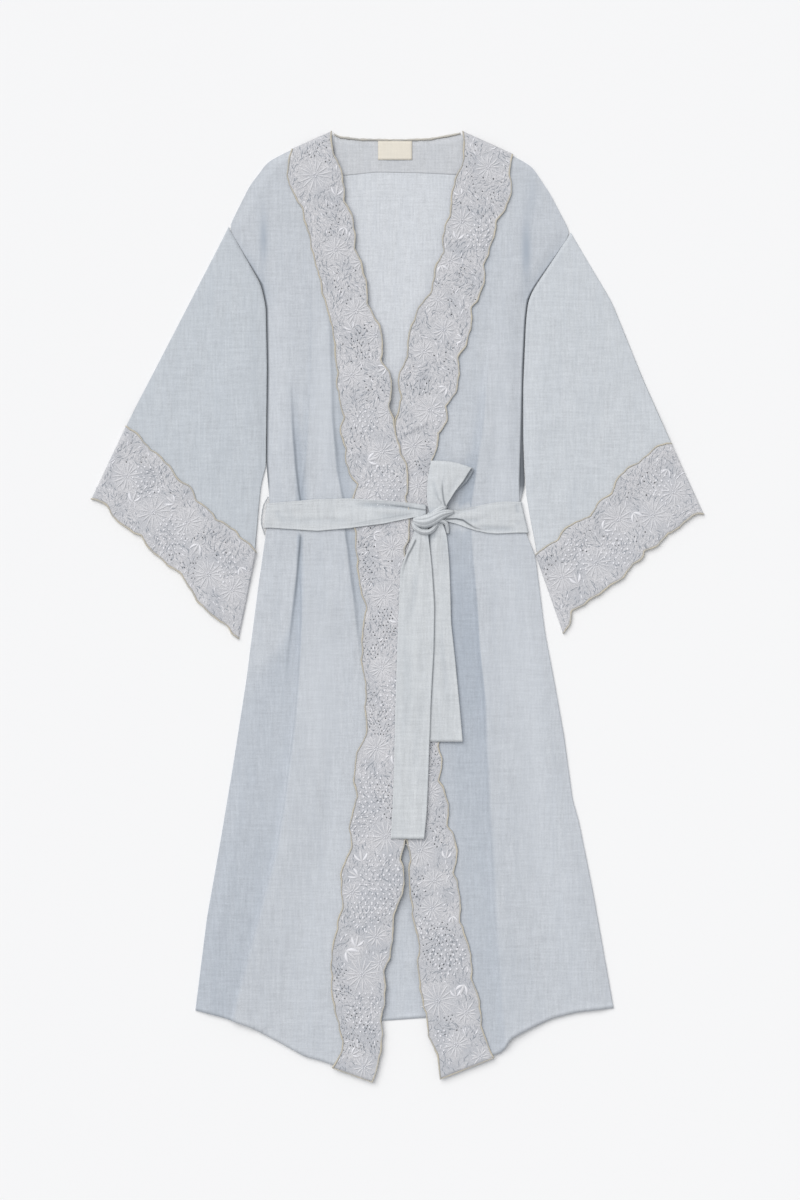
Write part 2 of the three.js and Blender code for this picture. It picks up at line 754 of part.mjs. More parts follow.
function neckBinding() {
  const start = curve(NECKLINE.slice(1, -1));
  const end = curve(moved(NECKLINE.slice(1, -1), 0, -BINDING_WIDTH));
  const from = straight(start.at(0), end.at(0));
  const to = straight(start.at(1), end.at(1));
  const grid = patch({ from, to, start, end }, even(1), stations([start], 20));
  return sheet(grid, () => SEAM, BINDING_TOP - SEAM);
}

function neckLabel() {
  const { left, right, top, bottom } = LABEL;
  const grid = [top, bottom].map((y) => even(4).map((u) => [lerp(left, right, u), y]));
  return sheet(grid, () => CLOTH + 2 * SEAM + TRIM, TRIM);
}

// Belt
const beltEdge = (rows) => (y) => column(rows === BELT_RIGHT ? RIGHT_SIDE : LEFT_SIDE, "y", "x", y);

function beltHalf(rows, outward) {
  const edgeAt = beltEdge(rows);
  const last = rows.at(-1);
  const xs = stations([curve(rows.map(({ x }) => ({ x, y: 0 })))], 14).map((u) => lerp(rows[0].x, last.x, u));
  const across = even(4);
  const flat = xs.map((x) =>
    across.map((v) => {
      const y = lerp(column(rows, "x", "top", x), column(rows, "x", "bottom", x), v);
      return [x, y, layerBottom(column(rows, "x", "layer", x), x, y) + CLOTH];
    }),
  );
  const turn = even(6).map((t) =>
    across.map((v) => {
      const y = lerp(last.top, last.bottom, v);
      const high = layerBottom(last.layer, last.x, y) + CLOTH;
      const radius = high / 2;
      const angle = Math.PI * (t * 0.97 + 0.03);
      const centre = edgeAt(y) + outward * (BELT_STANDOFF - radius);
      return [centre + outward * radius * Math.sin(angle), y, radius + radius * Math.cos(angle)];
    }),
  );
  return shell([...flat, ...turn], -outward * CLOTH);
}

function beltBack() {
  const edges = [BELT_RIGHT, BELT_LEFT].map((half, k) => {
    const { top, bottom } = half.at(-1);
    const inward = (k ? -1 : 1) * 0.3;
    return even(3).map((v) => {
      const y = lerp(top, bottom, v);
      return [beltEdge(half)(y) + inward, y];
    });
  });
  const grid = even(8).map((u) => even(3).map((_, j) => mix(edges[0][j], edges[1][j], u)));
  return sheet(grid, () => 0);
}

function beltTail(rows, layer) {
  const edge = (name) => curve(rows.map((row) => ({ x: row[name], y: row.y })));
  const [from, to] = [edge("left"), edge("right")];
  const start = straight(from.at(0), to.at(0));
  const end = straight(from.at(1), to.at(1));
  const grid = patch({ from, to, start, end }, stations([from], 20), even(4));
  return sheet(grid, (x, y) => layerBottom(layer, x, y));
}

// The loop runs up from the knot, turns over at its tip and comes back above itself
function bowLoop() {
  const shares = [0, 0.2, 0.45, 0.7, 0.9];
  const section = (share, rise, beyond = 0) => {
    const place = share * (LOOP.length - 1);
    const row = Math.min(Math.floor(place), LOOP.length - 2);
    const [a, b] = [LOOP[row], LOOP[row + 1]];
    const t = place - row + beyond;
    const layer = lerp(a.layer, b.layer, Math.min(t, 1));
    return even(5).map((v) => {
      const [x, y] = mix(mix(a.left, b.left, t), mix(a.right, b.right, t), v);
      return [x, y, layerBottom(layer, x, y) + rise];
    });
  };
  const bend = even(6).map((t) => {
    const angle = Math.PI * t;
    return section(0.9, LOOP_RADIUS * (1 - Math.cos(angle)), 0.3 + 0.12 * Math.sin(angle));
  });
  const lower = shares.map((s) => section(s, 0));
  const upper = shares.map((s) => section(s, 2 * LOOP_RADIUS)).reverse();
  return shell([...lower, ...bend.slice(1, -1), ...upper], CLOTH);
}

function beltKnot() {
  const { x, y, length, width, height, turn, layer } = KNOT;
  const ball = new THREE.SphereGeometry(1, 22, 14);
  ball.deleteAttribute("normal");
  ball.deleteAttribute("uv");
  ball.scale(length / 2, width / 2, 1);
  const spots = ball.attributes.position;
  for (let i = 0; i < spots.count; i++) {
    const z = spots.getZ(i);
    spots.setZ(i, z > 0 ? z * height : z * 0.6);
  }
  ball.rotateZ(turn);
  ball.translate(x, y, layerBottom(layer, x, y) + 0.7);
  return mergeVertices(ball, 1e-4);
}

function threadLoop() {
  const spots = THREAD_LOOP.map(({ x, y }) => new THREE.Vector3(x, y, 3.4));
  const path = new THREE.CatmullRomCurve3(spots);
  const round = new THREE.Shape().absarc(0, 0, THREAD_RADIUS, 0, Math.PI * 2);
  return new THREE.ExtrudeGeometry(round, { steps: 16, curveSegments: 4, extrudePath: path });
}

// The garment
const garment = new THREE.Group();

function add(name, finish, geometry) {
  const mesh = new THREE.Mesh(geometry, new THREE.MeshStandardMaterial({ ...COLOURS[finish], metalness: 0 }));
  mesh.name = name;
  garment.add(mesh);
}

add("back_panel", "linen", backPanel());
add("right_front", "linen", front(RIGHT_SIDE, RIGHT_HEM, RIGHT_LACE_OUTER, 1));
add("left_front", "linen", front(LEFT_SIDE, LEFT_HEM, LEFT_LACE_OUTER, -1));
add("right_front_lace", "lace", laceBand(RIGHT_LACE_OUTER, RIGHT_LACE_INNER, 1, climb));
add("left_front_lace", "lace", laceBand(LEFT_LACE_OUTER, LEFT_LACE_INNER, -1, () => 1));
add(
  "right_sleeve",
  "linen",
  sleeve(RIGHT_ARMHOLE, RIGHT_SLEEVE_OUTER, RIGHT_SLEEVE_INNER, RIGHT_CUFF_UPPER, RIGHT_CUFF_LOWER),
);
add(
  "left_sleeve",
  "linen",
  sleeve(LEFT_ARMHOLE, LEFT_SLEEVE_OUTER, LEFT_SLEEVE_INNER, LEFT_CUFF_UPPER, LEFT_CUFF_LOWER),
);
add("right_cuff_lace", "lace", cuffLace(RIGHT_CUFF_UPPER, RIGHT_CUFF_LOWER, -1));
add("left_cuff_lace", "lace", cuffLace(LEFT_CUFF_UPPER, LEFT_CUFF_LOWER, 1));
add("back_neck_facing", "linen", neckFacing());
add("neck_binding", "binding", neckBinding());
add("neck_label", "label", neckLabel());
add("belt_back", "belt", beltBack());
add("belt_right", "belt", beltHalf(BELT_RIGHT, -1));
add("belt_left", "belt", beltHalf(BELT_LEFT, 1));
add("belt_tail_short", "belt", beltTail(TAIL_SHORT, 2));
add("belt_tail_long", "belt", beltTail(TAIL_LONG, 3));
add("bow_loop", "belt", bowLoop());
add("belt_knot", "belt", beltKnot());
add("belt_thread_loop", "belt", threadLoop());

export default garment;
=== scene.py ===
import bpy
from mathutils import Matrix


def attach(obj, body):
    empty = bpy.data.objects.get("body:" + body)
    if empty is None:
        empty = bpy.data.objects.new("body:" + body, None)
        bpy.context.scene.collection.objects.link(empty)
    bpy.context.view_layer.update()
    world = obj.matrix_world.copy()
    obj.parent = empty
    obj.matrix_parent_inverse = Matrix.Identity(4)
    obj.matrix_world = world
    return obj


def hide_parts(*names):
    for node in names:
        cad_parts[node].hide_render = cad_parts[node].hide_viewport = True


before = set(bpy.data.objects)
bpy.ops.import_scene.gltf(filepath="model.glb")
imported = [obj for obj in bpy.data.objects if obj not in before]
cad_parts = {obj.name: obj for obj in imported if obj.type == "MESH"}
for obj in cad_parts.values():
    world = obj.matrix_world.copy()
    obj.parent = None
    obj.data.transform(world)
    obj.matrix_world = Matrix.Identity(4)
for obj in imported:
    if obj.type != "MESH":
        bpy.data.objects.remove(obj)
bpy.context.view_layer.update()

import math
import random
import bpy
import numpy as np
from mathutils import Vector, noise
from mathutils.bvhtree import BVHTree

# Sizes below are in millimetres, as in the part's source. -X is the wearer's right.
MM = 0.001
PHOTO_SCALE, PHOTO_LEFT, PHOTO_TOP = 1.26, 500.85, 764.19  # of the photograph's pixels
CLOTH = 1.2  # wall of the solids
LINEN, LACE = 0.8, 0.9  # thickness that the linen and the lace show
LAYER = CLOTH + 0.45  # height of one layer on another
SEAM = 0.3  # gap between pieces that are sewn together
FRONT_REST = CLOTH + SEAM  # underside of the fronts where they lie on the back
LACE_LAP = 10  # how far the fronts run on under the lace
BELT_Y, BELT_HALF = 114, 20  # middle and half width of the belt behind the waist
BELT_LIFT, BELT_RAMP = CLOTH + 0.6, 42  # how far it lifts the body, and the length of the slopes
BELT_STANDOFF = 3.6  # how far its turns stand out beyond the sides
FRONT_LOFT, LOFT_REACH = 2.2, 20  # rise of the fronts, and its way in from the edges
SLEEVE_LOFT, SLEEVE_EDGE = 2.6, 0.4  # space in a sleeve at its middle and at its edges
CUFF_REACH = 0.12  # share of a cuff that the sleeve's end lies in
BINDING_WIDTH, BINDING_TOP = 3.6, 3
BINDING_SHOWN = .78 * BINDING_WIDTH  # its far half turns under
TUBE_EDGE, CUFF_EDGE = 2.2, 2.6  # radius of the folded edges of sleeves and cuffs
FACING, LABEL_CLOTH = .15, .6  # thickness of the facing and the label
BELT_CLOTH, BELT_BACK_CLOTH, TAIL_CLOTH, LOOP_CLOTH, KNOT_CLOTH = CLOTH - .2, .9, .95, 1.0, .9
LACE_CUT, LACE_RUN = 63, 1190  # mean width and length of the front lace
BELT_CUT = {"right": 37, "left": 38, "short": 41, "long": 42, "loop": 36, "knot": 40}  # pressed widths
LOOP_RADIUS = 3  # of the loop's turn at its tip
LOOP_OPEN = 3.6  # how far the loop's lower layer stands out beyond its upper one
EYELET_CELL = 4.0  # the net's cell; every second one has an eyelet
EYELET = .85  # radius of an eyelet
EYELET_SHARE = .38  # share of the net's places that are open
HEM, TAIL_HEM = 6.0, 5  # depth of a sewn hem
HEM_RISE, HEM_DIP = .45, .3  # height of a hem, and how far its stitches are let in
MOTIF_MARGIN = 3.2  # least way from a motif to the lace's edge
DOT_PITCH, STITCH_PITCH, WRAP_PITCH = 7.4, 3.9, 1.25  # raised dots, stitches, wraps of overlock
OVERLOCK = .85  # radius of an overlocked edge

# Grids: millimetres between rows, or the count of rows and columns
FRONT_PITCH, FRONT_COLUMNS = 6.5, 121
BACK_PITCH, BACK_COLUMNS = 8, 63
TAIL_PITCH, TAIL_COLUMNS = 3, 33
SLEEVE_ROWS, SLEEVE_COLUMNS = 54, 52
LACE_COLUMNS, CUFF_ROWS, BELT_ROWS, BELT_COLUMNS, TURN_ROWS, LOOP_COLUMNS = 27, 31, 96, 41, 13, 45
THREAD_SIDES = 6
SLEEVE_TALL, SLEEVE_WIDE = 330, 230  # even size that a sleeve's creases are reckoned in
SLEEVE_NARROW = 190  # width that the columns at its folded edges are set for

# Outlines: x, y
RIGHT_SIDE = [
    (-123, 580), (-149, 567.5), (-164.5, 559), (-173.5, 546), (-186, 530), (-212.5, 477), (-170.5, 405),
    (-164.5, 377.5), (-163, 300), (-164.5, 183), (-161, 133), (-165, 95), (-174.5, 31), (-190.5, -94),
    (-207.5, -203.5), (-224, -302), (-240, -392.5), (-247, -449), (-254.5, -508.5),
]
LEFT_SIDE = [
    (133, 574), (154.5, 562.5), (169.5, 554), (179.5, 538.5), (192, 520), (218, 470), (171, 401),
    (163.5, 386), (160.6, 361), (157.6, 300), (156.3, 244), (154.5, 176), (153, 129), (161.5, 93),
    (173.5, 64), (185.5, -32), (197.5, -95), (209.5, -162), (220.5, -244), (228, -269), (246, -358.5),
    (262, -449), (272, -505.5),
]
RIGHT_ARMHOLE = [(-212.8, 478), (-171.7, 404), (-165.8, 377.5), (-164.4, 300), (-166, 176)]
LEFT_ARMHOLE = [
    (218.4, 471), (171.2, 399), (165, 386), (162, 361), (158.5, 276.5), (158.5, 210), (162.5, 139),
]
RIGHT_SLEEVE_OUTER = [(-212.8, 478), (-322.5, 260), (-343, 217.5)]
RIGHT_SLEEVE_INNER = [(-166, 176), (-172.5, 152), (-176, 124), (-183, 58)]
LEFT_SLEEVE_OUTER = [(218.4, 471), (268.5, 385), (305.5, 290.5), (346, 195.5)]
LEFT_SLEEVE_INNER = [(162.5, 139), (168.5, 110), (181, 56)]
RIGHT_HEM = [
    (-254.5, -508.5), (-220, -517), (-184.5, -530), (-150.5, -547.5), (-116.5, -566.5), (-96.5, -571.5),
    (-72.5, -580),
]
LEFT_HEM = [
    (111.5, -567.5), (131.5, -561.5), (143, -543.5), (169.5, -530), (194.5, -518.5), (223.5, -511),
    (272, -505.5),
]
BACK_HEM = [(-254.5, -508.5), (-150, -519), (-21, -522), (35, -518), (160, -516), (272, -505.5)]
NECKLINE = [(-82.5, 598), (-72.5, 593), (-47.5, 590), (3, 589), (41, 590.5), (66, 595), (81, 598)]
FACING_HEM = [(-82, 541), (-27, 547), (28, 546), (86, 543)]
FACING_TOP = [(-80, 592.5), (-72.5, 589.1), (-47.5, 586.1), (3, 585.1), (41, 586.6), (66, 591.1), (86, 595)]
BINDING = [(-79.5, 594.6), (-72.5, 591.2), (-47.5, 588.2), (3, 587.2), (41, 588.7), (66, 593.2), (79, 595.9)]

# Scalloped lace edges: x, y, swell of the scallop that starts there
RIGHT_LACE_OUTER = [
    (-133, 576, 11), (-121, 503.5, .5), (-79, 336, 2), (-75.5, 295.5, 4), (-67, 239, 6), (-65, 198.5, 5.5),
    (-51, 153, 5.5), (-52.5, 90, 4), (-39.5, -4.5, 5.5), (-40.5, -99, .5), (-39.5, -162, 9.5),
    (-50.5, -239, 5.5), (-57.5, -302, 8), (-68.5, -376, 15.5), (-68.5, -546, -2.5), (-82.5, -580, 0),
]
RIGHT_LACE_INNER = [
    (-82.5, 598.5, -1.5), (-80, 571.5, 4), (-66, 509.5, 5.5), (-53.5, 449, 5.5), (-38, 380, 8.5),
    (-20, 309.5, 8), (-10.5, 254, .5), (5, 191, 6.5), (10, 138, 6.5), (9, 71, 5), (5.5, -4.5, 6),
    (5.5, -80, 6), (5.5, -155.5, 6), (5.5, -231, 6), (4.5, -319.5, 8.5), (-5, -385, 4.5), (-16, -458, 2.5),
    (-20, -521, 5), (-31.5, -598.5, 0),
]
LEFT_LACE_INNER = [
    (81.5, 598.5, -2.5), (80, 555, 4), (65.5, 489.5, 4.5), (57.5, 446.5, 3.5), (42.5, 396, 9.5),
    (12.5, 314.5, 7), (4.5, 262.5, 4), (-3, 191, 5), (-.5, 109, 5), (3, 21, 5), (5.5, -67.5, 5),
    (8, -155.5, 5), (10.5, -244, 4), (15, -307, 5), (27, -424, 5), (36, -512, 4.5), (50, -561.5, .5),
    (53.5, -594.5, 0),
]
LEFT_LACE_OUTER = [
    (145.5, 569.5, -1), (142, 543.5, 8), (124.5, 484.5, 2.5), (108.5, 429, 7.5), (92.5, 376, 7.5),
    (76, 314.5, 8), (61.5, 251.5, 6.5), (50, 217.5, 4.5), (43, 184.5, 4), (48.5, 128, 5), (53.5, 58.5, 5),
    (55, -17, 5), (53.5, -92.5, 5), (51.5, -174.5, 3.5), (53, -218.5, 5), (63.5, -275.5, 8), (70.5, -336, 5),
    (78, -397.5, 5.5), (93, -464.5, 2.5), (105.5, -518.5, -2.5), (121.5, -567.5, 0),
]
RIGHT_CUFF_UPPER = [
    (-342, 227, 2.5), (-310.5, 197, 3.5), (-274, 157, 5), (-252.5, 131.5, 4), (-228.5, 107.5, 5),
    (-198.5, 86.5, 2), (-178, 68, 0),
]
RIGHT_CUFF_LOWER = [
    (-385.5, 135.5, -2.5), (-365, 125.5, 5), (-323, 89.5, 5), (-271.5, 42, 7.5), (-212, -26, 1),
    (-200, -40, 0),
]
LEFT_CUFF_UPPER = [
    (345, 205, 4), (319.5, 194, 1.5), (302, 180, 6.5), (269, 142, 3.5), (242.5, 113, 5.5),
    (199.5, 82.5, 1.5), (174, 65, 0),
]
LEFT_CUFF_LOWER = [
    (385.5, 116.5, -1), (371, 115.5, 3), (339.5, 92.5, 4.5), (310.5, 70, 4), (296.5, 56, 5),
    (266.5, 27, 2.5), (217.5, -5.5, 4), (208.5, -33.5, 0),
]

# Main folds of the fronts: side they drop to, steep, gentle, and rows with x, y, rise,
# painted shade beyond the edge, reach of that painted shade, painted dark line of shade at the edge
FOLDS = [
    (1, 4, 26, [
        (-135, 290, 0, 0, 12, 0), (-134.5, 268, .6, .15, 14, .05), (-133.6, 235, 1.3, .4, 16, .12),
        (-131.7, 210, 1.9, .7, 20, .2), (-129.2, 178, 2.2, .75, 20, .36), (-125.6, 147, 2.2, .95, 16, .62),
        (-122.5, 128, 1.4, 1, 12, .7)]),
    (-1, 4, 40, [
        (-108, 470, 0, 0, 8, 0), (-107.5, 380, .3, .1, 8, .08), (-108, 311, .8, .15, 8, .1),
        (-111.5, 235, 1.5, .25, 12, .12), (-112.8, 210, 1.9, .45, 20, .15), (-115.3, 178, 2.1, .55, 18, .16),
        (-119.1, 147, 1.9, .85, 12, .22), (-121.5, 128, 1, .9, 8, .25)]),
    (1, 5, 30, [
        (-86.5, 362, 0, 0, 12, 0), (-86, 346, 1.2, .3, 16, .12), (-84, 290, 1, .3, 20, .07),
        (-82.5, 235, 1.4, .45, 26, .1), (-79.5, 206, 1.8, .7, 28, .2), (-76.7, 173, 1.8, .7, 28, .2),
        (-69.9, 138, 1, .7, 24, .35), (-67, 128, .6, .7, 20, .35)]),
    (-1, 5, 34, [
        (117, 345, 0, 0, 12, 0), (116, 315, .9, .1, 12, .04), (112, 273, 1.7, .2, 16, .05),
        (107.7, 222, 2.3, .4, 20, .08), (103.3, 197, 2.5, .5, 20, .1), (97.6, 159, 2.5, .95, 30, .12),
        (93, 128, .7, .9, 34, .1)]),
    (-1, 4, 64, [
        (-122, 92, .4, .9, 6, .2), (-121.6, 71, 2, .9, 7, .2), (-121, 40, 3.3, .9, 8, .08),
        (-119.7, 8, 4, .8, 12, .05), (-120, -23, 4.3, .65, 18, .08), (-121.6, -55, 4.6, .55, 40, .1),
        (-123.5, -93, 4.6, .42, 90, .12), (-127.3, -143, 4.6, .36, 140, .1),
        (-139.9, -244, 4.6, .36, 160, .08), (-150.6, -307, 4.4, .45, 160, .07),
        (-184.6, -433, 3.6, .56, 160, .05), (-201, -496, 2.8, .56, 150, .04),
        (-209, -532, 2.2, .5, 140, .02)]),
    (1, 4, 18, [
        (-123, 92, .3, .9, 7, .6), (-124.7, 71, 1.2, .95, 8, .9), (-127.3, 40, 1.4, .9, 12, .6),
        (-131, 8, 1.4, .8, 16, .36), (-134.8, -23, 1.2, .6, 20, .2), (-138.6, -55, .8, .4, 22, .1),
        (-143, -98, 0, 0, 22, 0)]),
    (1, 5, 30, [
        (-67, 96, .6, .8, 18, .5), (-63, 71, 1.8, .7, 20, .34), (-60, 40, 1.8, .6, 22, .24),
        (-55.4, 8, 1.6, .5, 20, .16), (-52.3, -23, 1.2, .4, 16, .14), (-47, -67, 0, 0, 12, 0)]),
    (-1, 6, 60, [
        (93, 96, .6, .55, 90, .1), (94.5, 71, 2.4, .62, 90, .12), (100.2, 8, 3.6, .85, 90, .1),
        (104, -55, 4, .95, 90, .06), (111, -118, 4.4, .85, 90, .08), (113, -181, 4.4, .66, 90, .09),
        (118, -269, 4.2, .52, 90, .09), (121.6, -319, 4, .5, 90, .07), (123.5, -370, 3.8, .45, 90, .07),
        (127.3, -433, 3.2, .45, 90, .07), (131.5, -496, 2.6, .4, 90, .05), (138, -560, 2, .32, 90, .03)]),
]

# Soft lighter and darker places of the fronts, the darker ones by the armholes painted shade in the creases:
# x, y, reach across, reach down, amount
FADES = [
    (-96, -110, 26, 120, .4), (-150, -250, 14, 130, .1), (-110, -380, 40, 110, .15), (-92, 250, 16, 110, .3),
    (-150, 300, 12, 130, .15), (-168.5, 462, 5, 30, -.75), (130, 230, 16, 130, .25), (150, -60, 34, 120, .3),
    (210, -330, 30, 130, .12), (170, -250, 20, 160, .2), (98, 470, 22, 70, -.2), (162, 448, 6, 36, -.9),
    (170, 515, 8, 34, -.3), (-60, -400, 26, 120, .1), (150, -470, 30, 60, -.1),
]

# Smaller creases of the fronts: x and y of both ends, bow, width, height
FRONT_CREASES = [
    (-150, 470, -112, 300, 8, 10, .7), (-128, 520, -96, 380, -6, 8, .5), (-155, 410, -148, 190, 4, 7, .6),
    (-104, 420, -90, 250, 6, 7, -.5), (-100, 210, -92, 138, 3, 5, -.6), (-146, 260, -142, 140, -3, 5, .6),
    (-88, 230, -78, 140, 2, 4, .6), (-112, 96, -116, -60, 5, 7, .7), (-90, 92, -84, -40, -5, 8, .6),
    (-150, 60, -176, -110, 6, 9, -.6), (-100, -60, -112, -330, -9, 12, .7),
    (-80, -160, -88, -420, 6, 9, -.6), (-176, -180, -206, -430, 8, 13, .7),
    (-196, -300, -232, -480, -6, 10, -.6), (-128, -380, -160, -540, 5, 9, .6),
    (-100, -420, -110, -560, -3, 8, .5), (150, 480, 120, 330, -7, 10, .6), (132, 520, 112, 400, 5, 8, -.5),
    (146, 330, 138, 150, -4, 7, .6), (128, 260, 122, 140, 3, 5, -.6), (84, 230, 76, 140, 3, 6, .5),
    (104, 300, 92, 210, -4, 6, -.4), (136, 90, 152, -90, -6, 8, .7), (116, 84, 134, -120, 5, 7, -.6),
    (78, 60, 84, -110, 4, 7, .6), (92, -120, 98, -330, -6, 9, .5), (150, -140, 176, -400, 9, 13, .7),
    (186, -90, 226, -330, -8, 12, -.6), (206, -280, 238, -470, 6, 11, .7),
    (152, -360, 166, -500, -5, 10, .6),
]

# Creases of the back panel, seen at the neck, between the skirts and from below
BACK_CREASES = [
    (-30, 520, -8, 330, 7, 12, .8), (26, 500, 6, 320, -6, 10, .7), (-6, 420, 0, 230, 4, 8, .6),
    (48, 470, 30, 360, 5, 9, .5), (14, -250, 2, -470, 5, 10, .9), (28, -330, 40, -500, -4, 9, .8),
    (-10, -400, -4, -505, 3, 7, .6), (-110, 480, -70, 200, 9, 13, .9), (120, 430, 90, 180, -9, 12, .8),
    (-140, 40, -150, -300, 10, 15, 1), (-60, 30, -80, -330, -9, 14, .9), (90, 40, 130, -300, 10, 15, 1),
    (170, -120, 200, -420, -8, 13, .8), (-180, -200, -205, -450, 8, 12, .8),
]

# Creases of the sleeves, as shares down and across: from, to, bow, width, height
RIGHT_SLEEVE_CREASES = [
    (.04, .8, .5, .55, 8, 10, .8), (.12, .95, .62, .74, -7, 9, .7), (.3, .3, .86, .2, 6, 12, -.6),
    (.1, .45, .5, .3, -9, 12, .6), (.5, .6, .95, .5, 5, 9, .6), (.55, .9, .9, .8, -4, 7, .5),
    (.02, .2, .3, .12, 5, 9, .5),
]
LEFT_SLEEVE_CREASES = [
    (.03, .7, .45, .5, -8, 10, .8), (.1, .9, .6, .7, 7, 9, .7), (.25, .3, .8, .18, -6, 12, -.6),
    (.12, .5, .55, .36, 8, 11, .6), (.5, .65, .96, .6, -5, 8, .6), (.6, .88, .92, .85, 4, 7, .5),
    (.02, .15, .35, .1, -5, 9, .5),
]

# Belt halves: x, top, bottom, layers that lie under it
BELT_RIGHT = [
    (36, 127.5, 114.5, 3), (22, 129.5, 112.5, 3), (-18, 133.5, 104, 3), (-42, 134.5, 101, 2.15),
    (-60, 136, 98.5, 2), (-78, 135.5, 97, 1), (-101, 135, 95, 1), (-130, 132.5, 97, 1), (-159, 130, 99, 1),
]
BELT_LEFT = [
    (50, 120.5, 109, 2), (61, 120.5, 107.5, 2), (76, 121.3, 103.6, 1), (88, 123.4, 99, 1),
    (99, 126, 95.6, 1), (113, 129.2, 92.6, 1), (125, 131.3, 91.6, 1), (138, 132.2, 92.2, 1),
    (151, 131.6, 92.8, 1),
]
# Belt ends: y, left, right
TAIL_LONG = [
    (108, 26, 37), (91, 20, 38.5), (70, 12, 41), (46, 3.5, 43.5), (0, 1.5, 46.5), (-55, -.5, 45.5),
    (-118, -2.5, 42), (-206, -4.5, 39), (-256, -6.5, 37), (-292, -8.5, 33.5),
]
TAIL_SHORT = [
    (106, 44, 56), (90, 38, 62), (58, 24, 65), (20, 22.5, 66.5), (-20, 23.5, 67.5), (-67, 28.5, 72.5),
    (-118, 33.5, 77.5), (-170, 41, 82),
]
# The bow's loop, from the knot to its tip: left x and y, right x and y, layer
LOOP = [
    (40, 117.5, 58, 119, 3), (37.2, 131, 63, 129.5, 2.7), (36.8, 145, 72.5, 145, 2.4),
    (37.8, 160, 83, 158, 2.1), (42, 183, 93, 174.5, 2),
]
KNOT_LAYER, KNOT_PLACE = 4.1, (43.5, 107.0)
# Turns of the knot, from the lowest: places along each with x, y and height, its widths and its
# crowns there, depth of its pleats, their seed, painted shade under its edges and in its pleats
KNOT_TURNS = [
    ([(19.5, 106, -1.2), (22, 98.5, 0), (30, 93.6, .4), (39.5, 93.2, .4), (46, 98, 0), (50.5, 106, -.6)],
     [6, 8, 7.5, 7.5, 7, 6], [2, 3.6, 4.2, 4.2, 3.4, 2], .3, 1.0, .45),
    ([(35, 112.5, -1), (44, 117, .6), (52, 121.5, 1.2), (59, 125, .6), (62, 127, -.6)],
     [6, 9, 9.5, 8, 5], [2, 4, 4.2, 3, 1.4], .3, 3.0, .4),
    ([(48, 107, -1), (56, 107.6, .2), (61.5, 104.5, 0), (63, 98, -1), (63.4, 92, -2)],
     [5, 6, 5.5, 5, 4], [2, 3, 2.8, 2, 1.2], .3, 2.0, .55),
    ([(19, 108.2, -.4), (26, 106.6, 1.4), (35, 106.6, 2.3), (44, 109.6, 2.6), (53, 115, 2.2),
      (61.5, 117.6, 1.4), (70.5, 119, -.6)],
     [8, 15, 18.5, 17.5, 14.5, 10.5, 5], [2.6, 5.2, 6, 5.8, 5, 3.6, 1.6], .6, .4, .7),
]
LABEL = dict(left=-24.5, right=18.5, top=584.5, bottom=562.5)
THREAD_LOOP = [(-162.8, 138), (-168.8, 127), (-171, 113), (-171.2, 103), (-167, 90.5)]
THREAD_HEIGHT = 3.4
THREAD_RADIUS, THREAD_APART, THREAD_TWIST = .5, .42, 26  # of its strands, the twist in radians

rng = random.Random(7)


# Numbers along curves
def smooth(t):
    t = np.clip(t, 0, 1)
    return t * t * (3 - 2 * t)


def column(rows, along, value, place):
    """One column of a table, read at a place along another."""
    table = np.array([[r[along], r[value]] for r in rows], float)
    table = table[np.argsort(table[:, 0])]
    return np.interp(place, table[:, 0], table[:, 1])


class Curve:
    """A line through a table's points, read by its share of the length. Swells bow it."""

    def __init__(self, rows, side=0, wobble=0.0, seed=0):
        self.p = np.array([r[:2] for r in rows], float)
        self.swell = side * np.array([r[2] if len(r) > 2 else 0 for r in rows], float)
        self.d = np.hypot(*np.diff(self.p, axis=0).T)
        self.length = self.d.sum()
        self.k = np.concatenate([[0], np.cumsum(self.d)]) / self.length
        self.wobble, self.seed = wobble, seed

    def __call__(self, u):
        u = np.atleast_1d(np.asarray(u, float))
        i = np.clip(np.searchsorted(self.k, u - 1e-9), 1, len(self.k) - 1)
        a, b = self.p[i - 1], self.p[i]
        t = np.clip((u - self.k[i - 1]) / (self.k[i] - self.k[i - 1]), 0, 1)
        bow = self.swell[i - 1] * 4 * t * (1 - t)
        if self.wobble:
            far = u * self.length
            waves = sum(np.sin(far / w + self.seed * 1.7 + w) * a for w, a in
                        ((1.9, .25), (3.1, .4), (4.7, .6), (8.3, .6)))
            bow = bow + self.wobble * waves * smooth(np.minimum(u, 1 - u) * 30)
        way = (b - a) / self.d[i - 1][:, None]
        return a + (b - a) * t[:, None] + bow[:, None] * np.stack([way[:, 1], -way[:, 0]], -1)


def rounded(rows, reach=7):
    """The same line with its corners eased, for edges that run smoothly in cloth."""
    line = Curve(rows)
    count = max(8, int(line.length / 3))
    return Curve(softened(line(np.linspace(0, 1, count + 1)), reach))


def moved(rows, dx, dy=0):
    return [(r[0] + dx, r[1] + dy, *r[2:]) for r in rows]


def straight(p, q):
    return Curve([tuple(p), tuple(q)])


def end_lines(one, other):
    """Straight lines that join the starts and the ends of two curves."""
    return straight(one(0)[0], other(0)[0]), straight(one(1)[0], other(1)[0])


def softened(values, rounds):
    """Values with each inner one drawn towards its neighbours."""
    for _ in range(rounds):
        values[1:-1] = (values[:-2] + 2 * values[1:-1] + values[2:]) / 4
    return values


def soft_path(points, count):
    """A soft line of so many points past a few knots, the knots' shares, and its own shares."""
    points = np.asarray(points, float)
    knots, t = np.linspace(0, 1, len(points)), np.linspace(0, 1, count)
    return softened(np.stack([np.interp(t, knots, p) for p in points.T], -1), 12), knots, t


